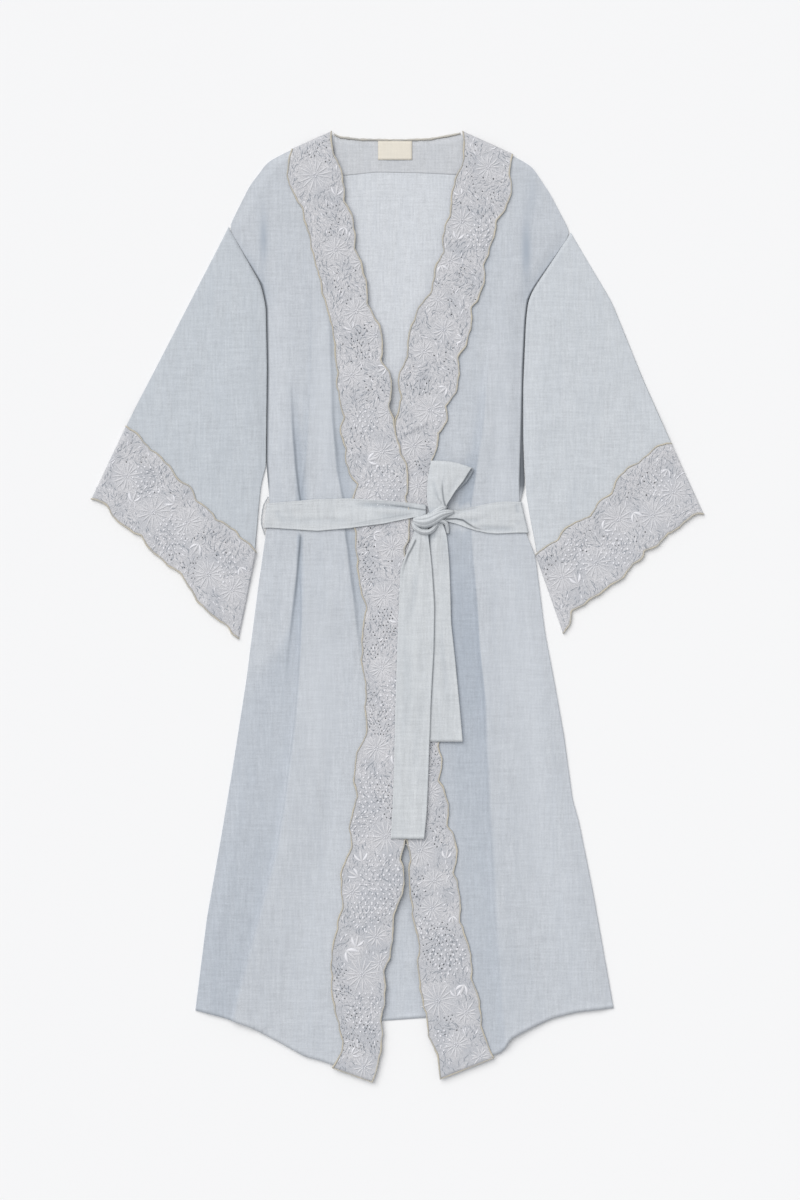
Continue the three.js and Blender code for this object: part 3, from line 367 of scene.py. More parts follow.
def patch(left, right, start, end, rows, cols):
    """Plan points inside four edges: left and right run down, start and end run across."""
    f, t, s, e = left(rows), right(rows), start(cols), end(cols)
    u, v = np.asarray(rows)[:, None, None], np.asarray(cols)[None, :, None]
    across = f[:, None] * (1 - v) + t[:, None] * v
    down = s[None] * (1 - u) + e[None] * u
    plain = (s[0] * (1 - v) + s[-1] * v) * (1 - u) + (e[0] * (1 - v) + e[-1] * v) * u
    return across + down - plain


def shares(length, step, hem):
    """Even shares along a length, with a hem's fold and stitch line kept at the end."""
    made = np.linspace(0, 1, max(2, int(round(length / step))) + 1)
    marks = [1 - (hem + far) / length for far in (-1.2, 0, 1.2)]
    return np.array(sorted(set(made[made < 1 - (hem + 3) / length]) | set(marks) | {1.0}))


# Heights of the stacked cloth
def belt_lift(y):
    """How far the belt behind the waist lifts the body."""
    return BELT_LIFT * smooth(1 - (np.abs(y - BELT_Y) - BELT_HALF) / BELT_RAMP)


def press(y):
    """The share of the fronts' rise that the belt leaves them."""
    return 1 - .7 * smooth(1 - (np.abs(y - BELT_Y) - BELT_HALF) / (BELT_RAMP * 2))


def fold_off(fold, x, y, value):
    """How far a place lies beyond a fold's edge, and one of the fold's values there."""
    drop, rows = fold[0], fold[-1]
    inside = (y <= rows[0][1]) & (y >= rows[-1][1])
    return drop * (x - column(rows, 1, 0, y)), column(rows, 1, value, y) * inside


def fold_height(fold, x, y):
    """Height of a main fold: steep beyond its edge and gentle before it."""
    off, rise = fold_off(fold, x, y, 2)
    return 1.3 * rise * smooth(1 - np.where(off > 0, off / fold[1], -off / fold[2]))


def pleats(lines, x, y):
    """Overlapped folds along drawn lines: their height, and the painted dark line of shade beneath their
    edge.
    """
    height, dark = np.zeros_like(x), np.zeros_like(x)
    for points, side, width, rise, line, start, end in lines:
        nearest, off, far = np.full_like(x, 1e6), np.zeros_like(x), np.zeros_like(x)
        for k, ((x0, y0), (x1, y1)) in enumerate(zip(points, points[1:])):
            dx, dy = x1 - x0, y1 - y0
            t = np.clip(((x - x0) * dx + (y - y0) * dy) / (dx * dx + dy * dy), 0, 1)
            gap = np.hypot(x - x0 - t * dx, y - y0 - t * dy)
            turn = side * np.sign((x - x0) * dy - (y - y0) * dx)
            closer = gap < nearest
            nearest = np.where(closer, gap, nearest)
            off = np.where(closer, gap * turn, off)
            far = np.where(closer, (k + t) / (len(points) - 1), far)
        fade = smooth(far / max(start, .01)) * smooth((1 - far) / max(end, .01))
        height += rise * fade * np.where(off > 0, np.exp(-(off / width) ** 1.5), smooth(1 + off / 1.1))
        dark = np.maximum(dark, line * fade * np.exp(-((off + .8) / 1.1) ** 2))
    return height, dark


def creased(creases, x, y):
    """Height of soft ridges and troughs along bowed lines that fade out at both ends."""
    total = np.zeros_like(x)
    for x0, y0, x1, y1, bow, width, height in creases:
        length = math.hypot(x1 - x0, y1 - y0)
        wx, wy = (x1 - x0) / length, (y1 - y0) / length
        t = ((x - x0) * wx + (y - y0) * wy) / length
        off = (x - x0) * wy - (y - y0) * wx - bow * 4 * t * (1 - t)
        fade = smooth(t / .3) * smooth((1 - t) / .3)
        total += height * np.exp(-(off / width) ** 2) * fade
    return total


def from_side(x, y):
    """How far a place lies inside the nearer of the body's two side lines."""
    return np.minimum(x - column(RIGHT_SIDE, 1, 0, y), column(LEFT_SIDE, 1, 0, y) - x)


def between(y, low, low_reach, high, high_reach):
    """1 between two heights, fading out towards both."""
    return smooth((y - low) / low_reach) * smooth((high - y) / high_reach)


def loft_share(x, y):
    """0 at the body's sides and shoulders, 1 further in."""
    shoulder = (RIGHT_SIDE[0][1] + LOFT_REACH - y) / 2
    return smooth(np.minimum(from_side(x, y), shoulder) / LOFT_REACH)


def front_bottom(x, y):
    share = loft_share(x, y)
    folds = sum(fold_height(f, x, y) for f in FOLDS)
    small = np.clip(creased(FRONT_CREASES, x, y), -.8, 1.4) * share
    return FRONT_REST + belt_lift(y) + press(y) * (FRONT_LOFT * share + folds + small)


def layer_bottom(layer, x, y):
    """Underside of the cloth with so many layers between it and the fronts' underside."""
    return front_bottom(x, y) + layer * LAYER


def front_shade(x, y):
    """How much painted shade a spot gets, 0 to 1: in a fold's recess, in the tuck at the armholes, and as a
    painted shadow beside the left lace's outer edge.
    """
    shade = np.zeros_like(x)
    for f in FOLDS:
        off, amount = fold_off(f, x, y, 3)
        reach = column(f[3], 1, 4, y)
        deep = (.85 + .15 * np.exp(-np.maximum(off, 0) / 5)) * (1 - smooth((off / reach - .3) / .7))
        onset = 1.6 + 7 * smooth((-60 - y) / 260)
        shade = np.maximum(shade, amount * deep * smooth(off / onset + .5))
    tuck = between(y, 375, 20, 480, 60)
    shade = np.maximum(shade, .7 * tuck * np.exp(-np.maximum(from_side(x, y), 0) / 6))
    # painted shadow of the left lace on the front beside its outer edge
    lace = x - column(LEFT_LACE_OUTER, 1, 0, y)
    low = between(y, 100, 30, 470, 60) + .35 * smooth((80 - y) / 40)
    return np.maximum(shade, .75 * low * (lace > -16) * np.exp(-np.maximum(lace, 0) / 5))


def front_groove(x, y):
    """Painted dark lines of shade: where a fold's edge meets its recess, and where the sides tuck in."""
    line = np.zeros_like(x)
    for f in FOLDS:
        off, amount = fold_off(f, x, y, 5)
        line = np.maximum(line, amount * np.exp(-((off - 1.3) / 1.5) ** 2))
    tuck = between(y, 140, 20, 452, 44)
    return np.maximum(line, .85 * tuck * (1 - smooth((from_side(x, y) - .2) / 2.2)))


def front_tint(x, y):
    """Lighter places above 0 and darker ones below it; the darker ones in the creases by the armholes are
    painted shade.
    """
    return sum(amount * np.exp(-((x - fx) / wide) ** 2 - ((y - fy) / tall) ** 2)
               for fx, fy, wide, tall, amount in FADES)


def back_bottom(x, y):
    return belt_lift(y) + np.clip(creased(BACK_CREASES, x, y), 0, 1.1) * loft_share(x, y)


# Meshes
def add_object(name, points, faces, material, flat_faces=0, **values):
    mesh = bpy.data.meshes.new(name)
    mesh.from_pydata((np.asarray(points, float) * MM).tolist(), [], faces)
    even = np.ones(len(faces), bool)
    if flat_faces:
        even[-flat_faces:] = False
    mesh.polygons.foreach_set("use_smooth", even)
    for key, data in values.items():
        mesh.attributes.new(key, "FLOAT", "POINT").data.foreach_set("value", np.asarray(data, np.float32))
    mesh.materials.append(material)
    mesh.update()
    thing = bpy.data.objects.new(name, mesh)
    bpy.context.scene.collection.objects.link(thing)
    return thing


def grid_faces(rows, cols, closed=False):
    faces = []
    for i in range(rows - 1):
        for j in range(cols if closed else cols - 1):
            k = (j + 1) % cols
            faces.append((i * cols + j, (i + 1) * cols + j, (i + 1) * cols + k, i * cols + k))
    return faces


def volume(points, faces):
    total = 0.0
    for f in faces:
        a = points[f[0]]
        for i in range(1, len(f) - 1):
            total += np.dot(a, np.cross(points[f[i]], points[f[i + 1]]))
    return total


def wall(points, faces, under):
    """Closes a surface into a wall: points above, their twins under it, and rims between."""
    count = len(points)
    edges = {(a, b): True for f in faces for a, b in zip(f, f[1:] + f[:1])}
    rims = [(b, a, a + count, b + count) for a, b in edges if (b, a) not in edges]
    twins = [tuple(i + count for i in reversed(f)) for f in faces]
    every = faces + twins + rims
    points = np.concatenate([points, under])
    return points, turned(every) if volume(points, every) < 0 else every, len(rims)


CUTS = {}  # grids of the cloth pieces, for their flat cuts


def sheet_object(name, grid, bottom, thick, material, hem=0, **looks):
    """Cloth over a plan grid whose underside lies at the height that bottom gives.

    The looks are functions of a place: deep paints shade in recesses, the line attribute paints dark lines of
    shade at edges, and tint makes places lighter above 0 and paints shade below it.
    """
    CUTS[name] = grid
    x, y = grid[..., 0], grid[..., 1]
    low = bottom(x, y)
    upper, lower = (np.stack([x, y, z], -1).reshape(-1, 3) for z in (low + thick + hem, low))
    points, faces, rims = wall(upper, grid_faces(*x.shape), lower)
    values = {key: np.zeros(len(points)) for key in ("deep", "groove", "tint")}
    for key, look in looks.items():
        values[key][:x.size] = look(x, y).ravel()
    return add_object(name, points, faces, material, rims, **values)


def solidify(thing, thick):
    made = thing.modifiers.new("cloth", "SOLIDIFY")
    made.thickness = thick * MM
    made.offset = -1
    return thing


def turned(faces):
    return [tuple(reversed(f)) for f in faces]


def outward(points, faces):
    """Faces of a closed or nearly closed shape, turned so that they look out."""
    return faces if volume(points - points.mean(0), faces) > 0 else turned(faces)


def facing_up(points, faces, one):
    """Faces of an open sheet, turned so that the one named by its number looks up."""
    a, b, _, c = (points[i] for i in faces[one])
    return turned(faces) if np.cross(b - a, c - a)[2] < 0 else faces


def tree_of(points, faces):
    return BVHTree.FromPolygons([tuple(p) for p in points], faces)


def height_on(tree, x, y, miss):
    """Height of the surface that is met from above, or miss where there is none."""
    hit = tree.ray_cast(Vector((x, y, 80)), Vector((0, 0, -1)))[0]
    return miss if hit is None else hit.z


def finish_piece(thing, slot, *nodes):
    """Ties a piece to the body and hides the solids that it stands for; its slot is not used."""
    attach(thing, "root")
    if nodes:
        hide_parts(*nodes)
    return thing


# Materials
class Nodes:
    """A small helper over a material's node tree."""

    def __init__(self, name):
        self.material = bpy.data.materials.new(name)
        self.material.use_nodes = True
        self.tree = self.material.node_tree
        self.surface = self.tree.nodes["Principled BSDF"]
        self.place = self.tree.nodes.new("ShaderNodeTexCoord").outputs["Object"]

    def link(self, source, target):
        self.tree.links.new(source, target)

    def noise(self, scale, turn, detail, rough=.5, distortion=0.0):
        mapping = self.tree.nodes.new("ShaderNodeMapping")
        mapping.inputs["Scale"].default_value = scale
        mapping.inputs["Rotation"].default_value = (0, 0, turn)
        self.link(self.place, mapping.inputs["Vector"])
        texture = self.tree.nodes.new("ShaderNodeTexNoise")
        for key, value in zip(("Scale", "Detail", "Roughness", "Distortion"), (1, detail, rough, distortion)):
            texture.inputs[key].default_value = value
        self.link(mapping.outputs[0], texture.inputs["Vector"])
        return texture.outputs["Fac"]

    def feed(self, node, *values):
        """Gives a node's sockets their values in turn: constants are set, outputs are linked."""
        for socket, value in zip(node.inputs, values):
            if isinstance(value, (int, float, tuple)):
                socket.default_value = value
            else:
                self.link(value, socket)
        return node.outputs[0]

    def math(self, kind, a, b):
        node = self.tree.nodes.new("ShaderNodeMath")
        node.operation = kind
        return self.feed(node, a, b)

    def ramp(self, source, stops):
        node = self.tree.nodes.new("ShaderNodeValToRGB")
        elements = node.color_ramp.elements
        for i, (place, colour) in enumerate(stops):
            made = elements[i] if i < 2 else elements.new(place)
            made.position = place
            made.color = colour
        self.link(source, node.inputs[0])
        return node.outputs[0]

    def mix(self, share, a, b, kind="MIX"):
        node = self.tree.nodes.new("ShaderNodeMixRGB")
        node.blend_type = kind
        return self.feed(node, share, a, b)

    def weighed(self, a, b, share):
        """A sum of two values, the first one with the share given and the second with its own."""
        return self.math("ADD", self.math("MULTIPLY", a, share[0]), self.math("MULTIPLY", b, share[1]))

    def attribute(self, name):
        node = self.tree.nodes.new("ShaderNodeAttribute")
        node.attribute_name = name
        return node.outputs["Fac"]

    def numbers(self, **values):
        """Constant numbers and colours of the shader, with _ for the spaces in a socket's name."""
        for name, value in values.items():
            self.surface.inputs[name.replace("_", " ")].default_value = value

    def bump(self, source, strength, distance):
        node = self.tree.nodes.new("ShaderNodeBump")
        node.inputs["Strength"].default_value = strength
        node.inputs["Distance"].default_value = distance
        self.link(source, node.inputs["Height"])
        self.link(node.outputs[0], self.surface.inputs["Normal"])


def colour(r, g, b):
    """A screen colour, 0 to 255, as a linear one."""
    return tuple(c / 12.92 if c <= .04045 else ((c + .055) / 1.055) ** 2.4
                 for c in (r / 255, g / 255, b / 255)) + (1.0,)


def times(base, *factors):
    """A colour made darker or lighter, by one factor or one for each channel."""
    factors = factors if len(factors) == 3 else factors * 3
    return tuple(min(1, c * f) for c, f in zip(base, factors)) + (1,)


def linen_material(name, base, deep, turn=0.0, contrast=.085, rough=.92):
    n = Nodes(name)
    warp = n.noise((430, 42, 60), turn, 3, .6)
    weft = n.noise((38, 400, 60), turn, 3, .6)
    fine = n.noise((620, 620, 300), turn, 3, .7)
    cloud = n.noise((24, 6, 9), turn, 3)
    slub = n.noise((150, 17, 30), turn, 2)
    threads = n.weighed(warp, weft, (.55, .45))
    worn = n.weighed(threads, fine, (.6, .4))
    tone = n.ramp(worn, [(.32, times(base, 1 - 2.6 * contrast)), (.68, times(base, 1 + 2.6 * contrast))])
    slubbed = n.weighed(cloud, n.math("SUBTRACT", slub, .5), (.4, .5))
    soft = n.mix(slubbed, tone, times(base, .9, .93, .965))
    # tint makes places lighter above 0, and below 0 paints shade with the shade colour
    tint = n.attribute("tint")
    lightened = n.mix(n.math("MAXIMUM", tint, 0), soft, times(base, 1.22))
    tinted = n.mix(n.math("MAXIMUM", n.math("MULTIPLY", tint, -1), 0), lightened, deep)
    # painted shade in the recesses: the deep attribute multiplies the colour towards the shade colour,
    # keeping the weave
    recess = tuple((.15 * b + .85 * d) / b for b, d in zip(base[:3], deep)) + (1,)
    shaded = n.mix(n.attribute("deep"), tinted, n.mix(1, tinted, recess, "MULTIPLY"))
    # painted dark lines of shade at fold edges and in the slots by the sleeves
    grooved = n.mix(n.attribute("groove"), shaded, times(deep, .32))
    n.link(grooved, n.surface.inputs["Base Color"])
    n.numbers(Roughness=rough, Sheen_Weight=.12, Sheen_Roughness=.6, Specular_IOR_Level=.25)
    n.bump(worn, .22, .0006)
    return n.material


# Thin lines where a noise passes its middle
CURL = [(.465, (0, 0, 0, 1)), (.49, (1, 1, 1, 1)), (.51, (1, 1, 1, 1)), (.535, (0, 0, 0, 1))]


def lace_material(name, base, deep):
    n = Nodes(name)
    threads = n.noise((900, 900, 300), .4, 2)
    strands = n.noise((260, 900, 200), .9, 2)
    cloud = n.noise((34, 26, 20), .2, 2)
    worn = n.math("ADD", threads, strands)
    tone = n.ramp(worn, [(.8, times(base, .88)), (1.2, times(base, 1.1))])
    patchy = n.mix(n.math("MULTIPLY", cloud, .25), tone, deep)
    curl = n.ramp(n.noise((170, 170, 90), .3, 1, .5, 1.6), CURL)
    vine = n.ramp(n.noise((260, 210, 90), 1.1, 1, .5, 2.2), CURL)
    drawing = n.math("MAXIMUM", curl, vine)
    drawn = n.mix(n.math("MULTIPLY", drawing, .46), patchy, colour(152, 158, 167))
    shaded = n.mix(n.attribute("deep"), drawn, deep)
    # painted dark lines of shade along the lace's pressed folds
    n.link(n.mix(n.attribute("groove"), shaded, colour(112, 118, 130)), n.surface.inputs["Base Color"])
    n.numbers(Roughness=.72, Sheen_Weight=.15)
    n.bump(n.math("SUBTRACT", worn, drawing), .4, .0008)
    return n.material


def satin_material(name, base, rim, rough=.36):
    n = Nodes(name)
    strands = n.noise((420, 1400, 300), .7, 1)
    tone = n.mix(n.math("MULTIPLY", strands, .3), base, times(base, .84))
    # rim darkens leaf and dot edges, an outline with painted shade at the edge, and whole darker stitches
    n.link(n.mix(n.attribute("rim"), tone, rim), n.surface.inputs["Base Color"])
    n.numbers(Roughness=rough, Sheen_Weight=.1)
    n.bump(strands, .3, .0004)
    return n.material


def thread_material(name, base, other):
    n = Nodes(name)
    patchy = n.noise((90, 90, 60), .3, 2)
    wraps = n.noise((1500, 1500, 900), .8, 1)
    tone = n.ramp(patchy, [(.36, base), (.66, other)])
    n.link(n.mix(n.math("MULTIPLY", wraps, .35), tone, times(base, .7)), n.surface.inputs["Base Color"])
    n.numbers(Roughness=.8)
    n.bump(wraps, .5, .0006)
    return n.material


# The second colour of each linen material is its painted shade, for recesses, dark lines and darker tints.
LINEN_PAINTED_SHADE = colour(162, 171, 183)
linen = linen_material("linen_plain_weave", colour(193, 197, 203), LINEN_PAINTED_SHADE)
# The back and the left sleeve are lighter copies of the fronts' linen: light painted into their colour.
linen_back_lit = linen_material("linen_back_panel_lit", colour(206, 209, 214), LINEN_PAINTED_SHADE)
linen_right = linen_material("linen_right_sleeve", colour(192, 197, 203), LINEN_PAINTED_SHADE, math.radians(-24), .08)
linen_left_lit = linen_material("linen_left_sleeve_lit", colour(198, 202, 207), LINEN_PAINTED_SHADE, math.radians(22), .08)
facing_linen = linen_material("linen_facing", colour(198, 200, 204), LINEN_PAINTED_SHADE)
belt_linen = linen_material("belt_linen", colour(202, 205, 208), colour(150, 159, 169), 0, .085)
lace_cloth = lace_material("lace_ground", colour(209, 208, 211), colour(182, 185, 192))
satin = satin_material("lace_satin", colour(226, 226, 231), colour(164, 168, 176))
soft_satin = satin_material("lace_thread", colour(210, 210, 214), colour(150, 155, 163), .55)
edging = thread_material("overlock_thread", colour(203, 195, 178), colour(186, 184, 179))
binding_cloth = thread_material("binding_cloth", colour(200, 196, 187), colour(181, 180, 178))
seam_thread = thread_material("seam_thread", colour(188, 190, 192), colour(176, 181, 188))
label_cloth = linen_material("label_satin", colour(226, 219, 206), colour(200, 190, 176), 0, .03, .6)


# Panels
def hem_rise(rows, length, depth=HEM):
    """Heights of the rows above a plain cloth: the hem is double, with its stitch line let in."""
    far = (1 - rows[:, None]) * length
    return np.where(far < depth + .1, HEM_RISE, 0) - np.where(np.abs(far - depth) < .1, HEM_DIP, 0)


def front_panel(name, side, hem, lace_outer, to_centre, node):
    inner = Curve(moved(lace_outer, to_centre * LACE_LAP))
    outer = rounded(side)
    left, right = (outer, inner) if to_centre > 0 else (inner, outer)
    rows, cols = shares(outer.length, FRONT_PITCH, HEM), np.linspace(0, 1, FRONT_COLUMNS)
    grid = patch(left, right, straight(left(0)[0], right(0)[0]), rounded(hem, 3), rows, cols)
    made = sheet_object(name, grid, front_bottom, LINEN, linen, hem_rise(rows, outer.length),
                        deep=front_shade, groove=front_groove, tint=front_tint)
    return finish_piece(made, "linen", node)


right_front = front_panel("right_front_linen", RIGHT_SIDE, RIGHT_HEM, RIGHT_LACE_OUTER, 1, "right_front")
left_front = front_panel("left_front_linen", LEFT_SIDE, LEFT_HEM, LEFT_LACE_OUTER, -1, "left_front")


def back_shade(x, y):
    return .34 * smooth((-150 - y) / 60)


def back_groove(x, y):
    """Painted shade: the back is dark where it shows in the slots between the body and the sleeves."""
    return .9 * (1 - smooth(from_side(x, y) / 6)) * between(y, 135, 20, 456, 44)


def back_piece():
    """The back panel, a little inside the outline where the armholes are."""
    neck = moved(NECKLINE, 0, -BINDING_WIDTH - SEAM)
    armhole = [(x - SEAM, y) for x, y in LEFT_ARMHOLE[1:-1]] + [(160.6, 152)]
    right_side = [(x - (1.1 if 170 < y < 420 else 0), y) for x, y in RIGHT_SIDE]
    above = [p for p in LEFT_SIDE if p[1] > armhole[0][1]]
    below = [p for p in LEFT_SIDE if p[1] < BELT_Y + BELT_HALF]
    left = rounded([neck[0], *right_side])
    right = rounded([neck[-1], *above, *armhole, *below])
    rows, cols = shares(left.length, BACK_PITCH, HEM), np.linspace(0, 1, BACK_COLUMNS)
    grid = patch(left, right, Curve(neck), rounded(BACK_HEM, 3), rows, cols)
    made = sheet_object("back_linen", grid, back_bottom, LINEN, linen_back_lit, hem_rise(rows, left.length),
                        deep=back_shade, groove=back_groove)
    return finish_piece(made, "linen", "back_panel")


back = back_piece()


# Sleeves and cuffs, flattened tubes
def ring_points(grid, low, total, radius):
    """Points over a plan grid and back under it, with the folded edges rounded."""
    step = np.hypot(*np.diff(grid, axis=1).transpose(2, 0, 1))
    along = np.concatenate([np.zeros((len(grid), 1)), np.cumsum(step, 1)], 1)
    near = np.minimum(along, along[:, -1:] - along)
    part = np.clip(near / radius, 0, 1)
    half = total / 2 * np.sqrt(np.clip(1 - (1 - part) ** 2, 0, 1))
    middle = low + total / 2
    over = np.concatenate([grid, (middle + half)[..., None]], -1)
    under = np.concatenate([grid, (middle - half)[..., None]], -1)
    return np.concatenate([over, under[:, -2:0:-1]], 1)


def fold_columns(count, width, radius):
    """Shares across a flattened tube, closer together at its folded edges."""
    near = radius / width
    edge = [0, .15 * near, .5 * near, near]
    return np.array(edge + list(np.linspace(near, 1 - near, count))[1:-1] + [1 - e for e in edge[::-1]])


def sleeve_piece(name, armhole, outer, inner, cuff_upper, cuff_lower, creases, material, node):
    """A sleeve from its armhole into its cuff, where it is pressed flat."""
    upper, lower = Curve(cuff_upper), Curve(cuff_lower)
    left, right = rounded(outer, 12), rounded(inner, 5)

    def end(u):
        p = upper(u) * (1 - CUFF_REACH) + lower(u) * CUFF_REACH
        p[0], p[-1] = left(1)[0], right(1)[0]
        return p

    rows, cols = np.linspace(0, 1, SLEEVE_ROWS), fold_columns(SLEEVE_COLUMNS, SLEEVE_NARROW, TUBE_EDGE)
    grid = patch(left, right, rounded(armhole, 6), end, rows, cols)
    tight = smooth((rows - .7) / .2)[:, None]
    full = smooth(rows / .2)[:, None] * (1 - .96 * tight)
    swell = np.clip(np.sin(np.pi * cols), 0, 1)[None] ** .7
    u, v = np.meshgrid(rows, cols, indexing="ij")
    wrinkles = [(a * SLEEVE_TALL, b * SLEEVE_WIDE, c * SLEEVE_TALL, d * SLEEVE_WIDE, *more)
                for a, b, c, d, *more in creases]
    small = np.clip(creased(wrinkles, u * SLEEVE_TALL, v * SLEEVE_WIDE), -.7, 1.2) * swell * (1 - .8 * tight)
    total = 2 * LINEN + .5 + SLEEVE_EDGE + (SLEEVE_LOFT + .3) * full * swell + small * smooth(u / .08)
    points = ring_points(grid, LAYER * tight, total, TUBE_EDGE)
    ring = points.shape[1]
    flat = points.reshape(-1, 3)
    faces = outward(flat, grid_faces(len(rows), ring, True))
    CUTS[name] = grid
    made = add_object(name, flat, faces, material, deep=np.zeros(len(flat)))
    return finish_piece(solidify(made, LINEN), "linen", node)


right_sleeve = sleeve_piece("right_sleeve_linen", RIGHT_ARMHOLE, RIGHT_SLEEVE_OUTER, RIGHT_SLEEVE_INNER,
                            RIGHT_CUFF_UPPER, RIGHT_CUFF_LOWER, RIGHT_SLEEVE_CREASES, linen_right,
                            "right_sleeve")
left_sleeve = sleeve_piece("left_sleeve_linen", LEFT_ARMHOLE, LEFT_SLEEVE_OUTER, LEFT_SLEEVE_INNER,
                           LEFT_CUFF_UPPER, LEFT_CUFF_LOWER, LEFT_SLEEVE_CREASES, linen_left_lit,
                           "left_sleeve")


# Lace
OCTAGON = [math.radians(202.5 + 45 * n) for n in range(8)]


def netted(points, rows, cols, zone, closed=False):
    """Cells of a grid as faces, with an eyelet in every second cell where zone says so."""
    extra, faces = [], []
    for i in range(rows - 1):
        for j in range(cols if closed else cols - 1):
            k = (j + 1) % cols
            a, b, c, d = ring = (i * cols + j, (i + 1) * cols + j, (i + 1) * cols + k, i * cols + k)
            open_here = EYELET_SHARE * (1.3 if points[a][1] < 60 else .55)
            if (i + j) % 2 or not zone[i, j] or rng.random() > open_here:
                faces.append(ring)
                continue
            pa, pb, pc, pd = (points[q] for q in ring)
            down, over = np.linalg.norm(pb - pa), np.linalg.norm(pd - pa)
            size = EYELET * (.8 + .35 * rng.random())
            o = [len(points) + len(extra) + n for n in range(8)]
            for angle in OCTAGON:
                s = .5 + min(.36, size / down) * math.cos(angle)
                t = .5 + min(.36, size / over) * math.sin(angle)
                extra.append((pa * (1 - s) + pb * s) * (1 - t) + (pd * (1 - s) + pc * s) * t)
            faces += [(a, o[1], o[0]), (a, b, o[2], o[1]), (b, o[3], o[2]), (b, c, o[4], o[3]),
                      (c, o[5], o[4]), (c, d, o[6], o[5]), (d, o[7], o[6]), (d, a, o[0], o[7])]
    return (np.concatenate([points, np.array(extra)]) if extra else points), faces


def tube_along(path, radius, closed=False):
    """A round thread along a path, its radius given at each point."""
    path = np.asarray(path, float)
    count = len(path)
    ahead = np.roll(path, -1, 0) - np.roll(path, 1, 0)
    if not closed:
        ahead[0], ahead[-1] = path[1] - path[0], path[-1] - path[-2]
    ahead /= np.linalg.norm(ahead, axis=1)[:, None] + 1e-9
    side = np.cross(ahead, [0, 0, 1.0])
    side /= np.linalg.norm(side, axis=1)[:, None] + 1e-9
    rise = np.cross(side, ahead)
    radius = np.broadcast_to(radius, count)
    points = []
    for n in range(THREAD_SIDES):
        angle = 2 * math.pi * n / THREAD_SIDES
        points.append(path + (side * math.cos(angle) + rise * math.sin(angle)) * radius[:, None])
    points = np.stack(points, 1).reshape(-1, 3)
    rows = count + 1 if closed else count
    total = count * THREAD_SIDES
    faces = [tuple(q % total for q in f) for f in grid_faces(rows, THREAD_SIDES, True)]
    if not closed:
        faces += [tuple(range(THREAD_SIDES)), tuple(reversed(range(total - THREAD_SIDES, total)))]
    return points, outward(points, faces)


class Bundle:
    """Many small shapes gathered into one mesh."""

    def __init__(self):
        self.points, self.faces, self.rim, self.count = [], [], [], 0

    def add(self, points, faces, rim=None):
        points = np.asarray(points, float)
        self.points.append(points)
        self.faces += [tuple(q + self.count for q in f) for f in faces]
        self.rim.append(np.zeros(len(points)) if rim is None else np.asarray(rim, float))
        self.count += len(points)

    def make(self, name, material, slot, key="rim"):
        made = add_object(name, np.concatenate(self.points), self.faces, material,
                          **{key: np.concatenate(self.rim)})
        return finish_piece(made, slot)


def wrapped(far, radius, uneven):
    """Radii of an edge that is wrapped with thread, at the distances given along it."""
    return radius * (1 + .2 * (np.arange(len(far)) % 2) + uneven * np.sin(far / 9.0) * np.sin(far / 23.0))


def edge_cord(bundle, line, tree, radius=OVERLOCK, lift=.25):
    """Overlock thread wrapped along a plan line that lies on the cloth below it."""
    line = np.asarray(line, float)
    step = np.hypot(*np.diff(line, axis=0).T)
    far = np.concatenate([[0], np.cumsum(step)])
    count = max(8, int(far[-1] / WRAP_PITCH))
    at = np.linspace(0, far[-1], count)
    x, y = np.interp(at, far, line[:, 0]), np.interp(at, far, line[:, 1])
    z = np.array([height_on(tree, a, b, -1) for a, b in zip(x, y)])
    good = z > -.5
    z = np.interp(at, at[good], z[good])
    z = np.convolve(np.pad(z, 3, mode="edge"), np.ones(7) / 7, "valid") + lift
    bundle.add(*tube_along(np.stack([x, y, z], -1), wrapped(at, radius, .28)))


def leaf(bundle, tree, x, y, length, width, angle, height, bend, steps, wide=True, dark=False):
    """A pointed satin leaf that lies on the cloth, with a raised middle and a darker rim: its outline, with
    painted shade at its edge.
    """
    c, s = math.cos(angle), math.sin(angle)
    across = (-1, -.62, 0, .62, 1) if wide else (-1, 0, 1)
    tall = (0, .8, 1, .8, 0) if wide else (0, 1, 0)
    points, rim = [], []
    for n in range(steps + 1):
        t = n / steps
        half = width / 2 * (math.sin(math.pi * min(.985, max(.015, t))) ** .75)
        mid = bend * 4 * t * (1 - t)
        for a, h in zip(across, tall):
            px, py = (t - .5) * length, mid + a * half
            gx, gy = x + px * c - py * s, y + px * s + py * c
            points.append([gx, gy, h * height * (half / (width / 2)) + (-.25 if h == 0 else 0)])
            rim.append(1 if h == 0 or dark else 0)
    ground = height_on(tree, x, y, None)
    if ground is None:
        return
    ends = [height_on(tree, points[0][0], points[0][1], ground),
            height_on(tree, points[-1][0], points[-1][1], ground)]
    k = len(across)
    for n, p in enumerate(points):
        t = (n // k) / steps
        before, after = ends[0] * (1 - 2 * t) + ground * 2 * t, ground * (2 - 2 * t) + ends[1] * (2 * t - 1)
        p[2] += before if t < .5 else after
    bundle.add(points, grid_faces(steps + 1, k), rim)


def dot(bundle, tree, x, y, size, height):
    ground = height_on(tree, x, y, None)
    if ground is None:
        return
    rings = ((1, -.2), (.75, .7), (.3, 1))
    points = [[x + size / 2 * r * math.cos(a), y + size * .62 * r * math.sin(a), ground + h * height]
              for r, h in rings for a in (math.radians(60 * n) for n in range(6))]
    points.append([x, y, ground + height * 1.05])
    faces = grid_faces(3, 6, True) + [(12 + n, 12 + (n + 1) % 6, 18) for n in range(6)]
    points = np.array(points)
    middle = points - points.mean(0)
    # the outer ring is darker: the dot's outline, with painted shade at its edge
    bundle.add(points, [f[::-1] if volume(middle, [f]) < 0 else f for f in faces], [1] * 6 + [0] * 13)


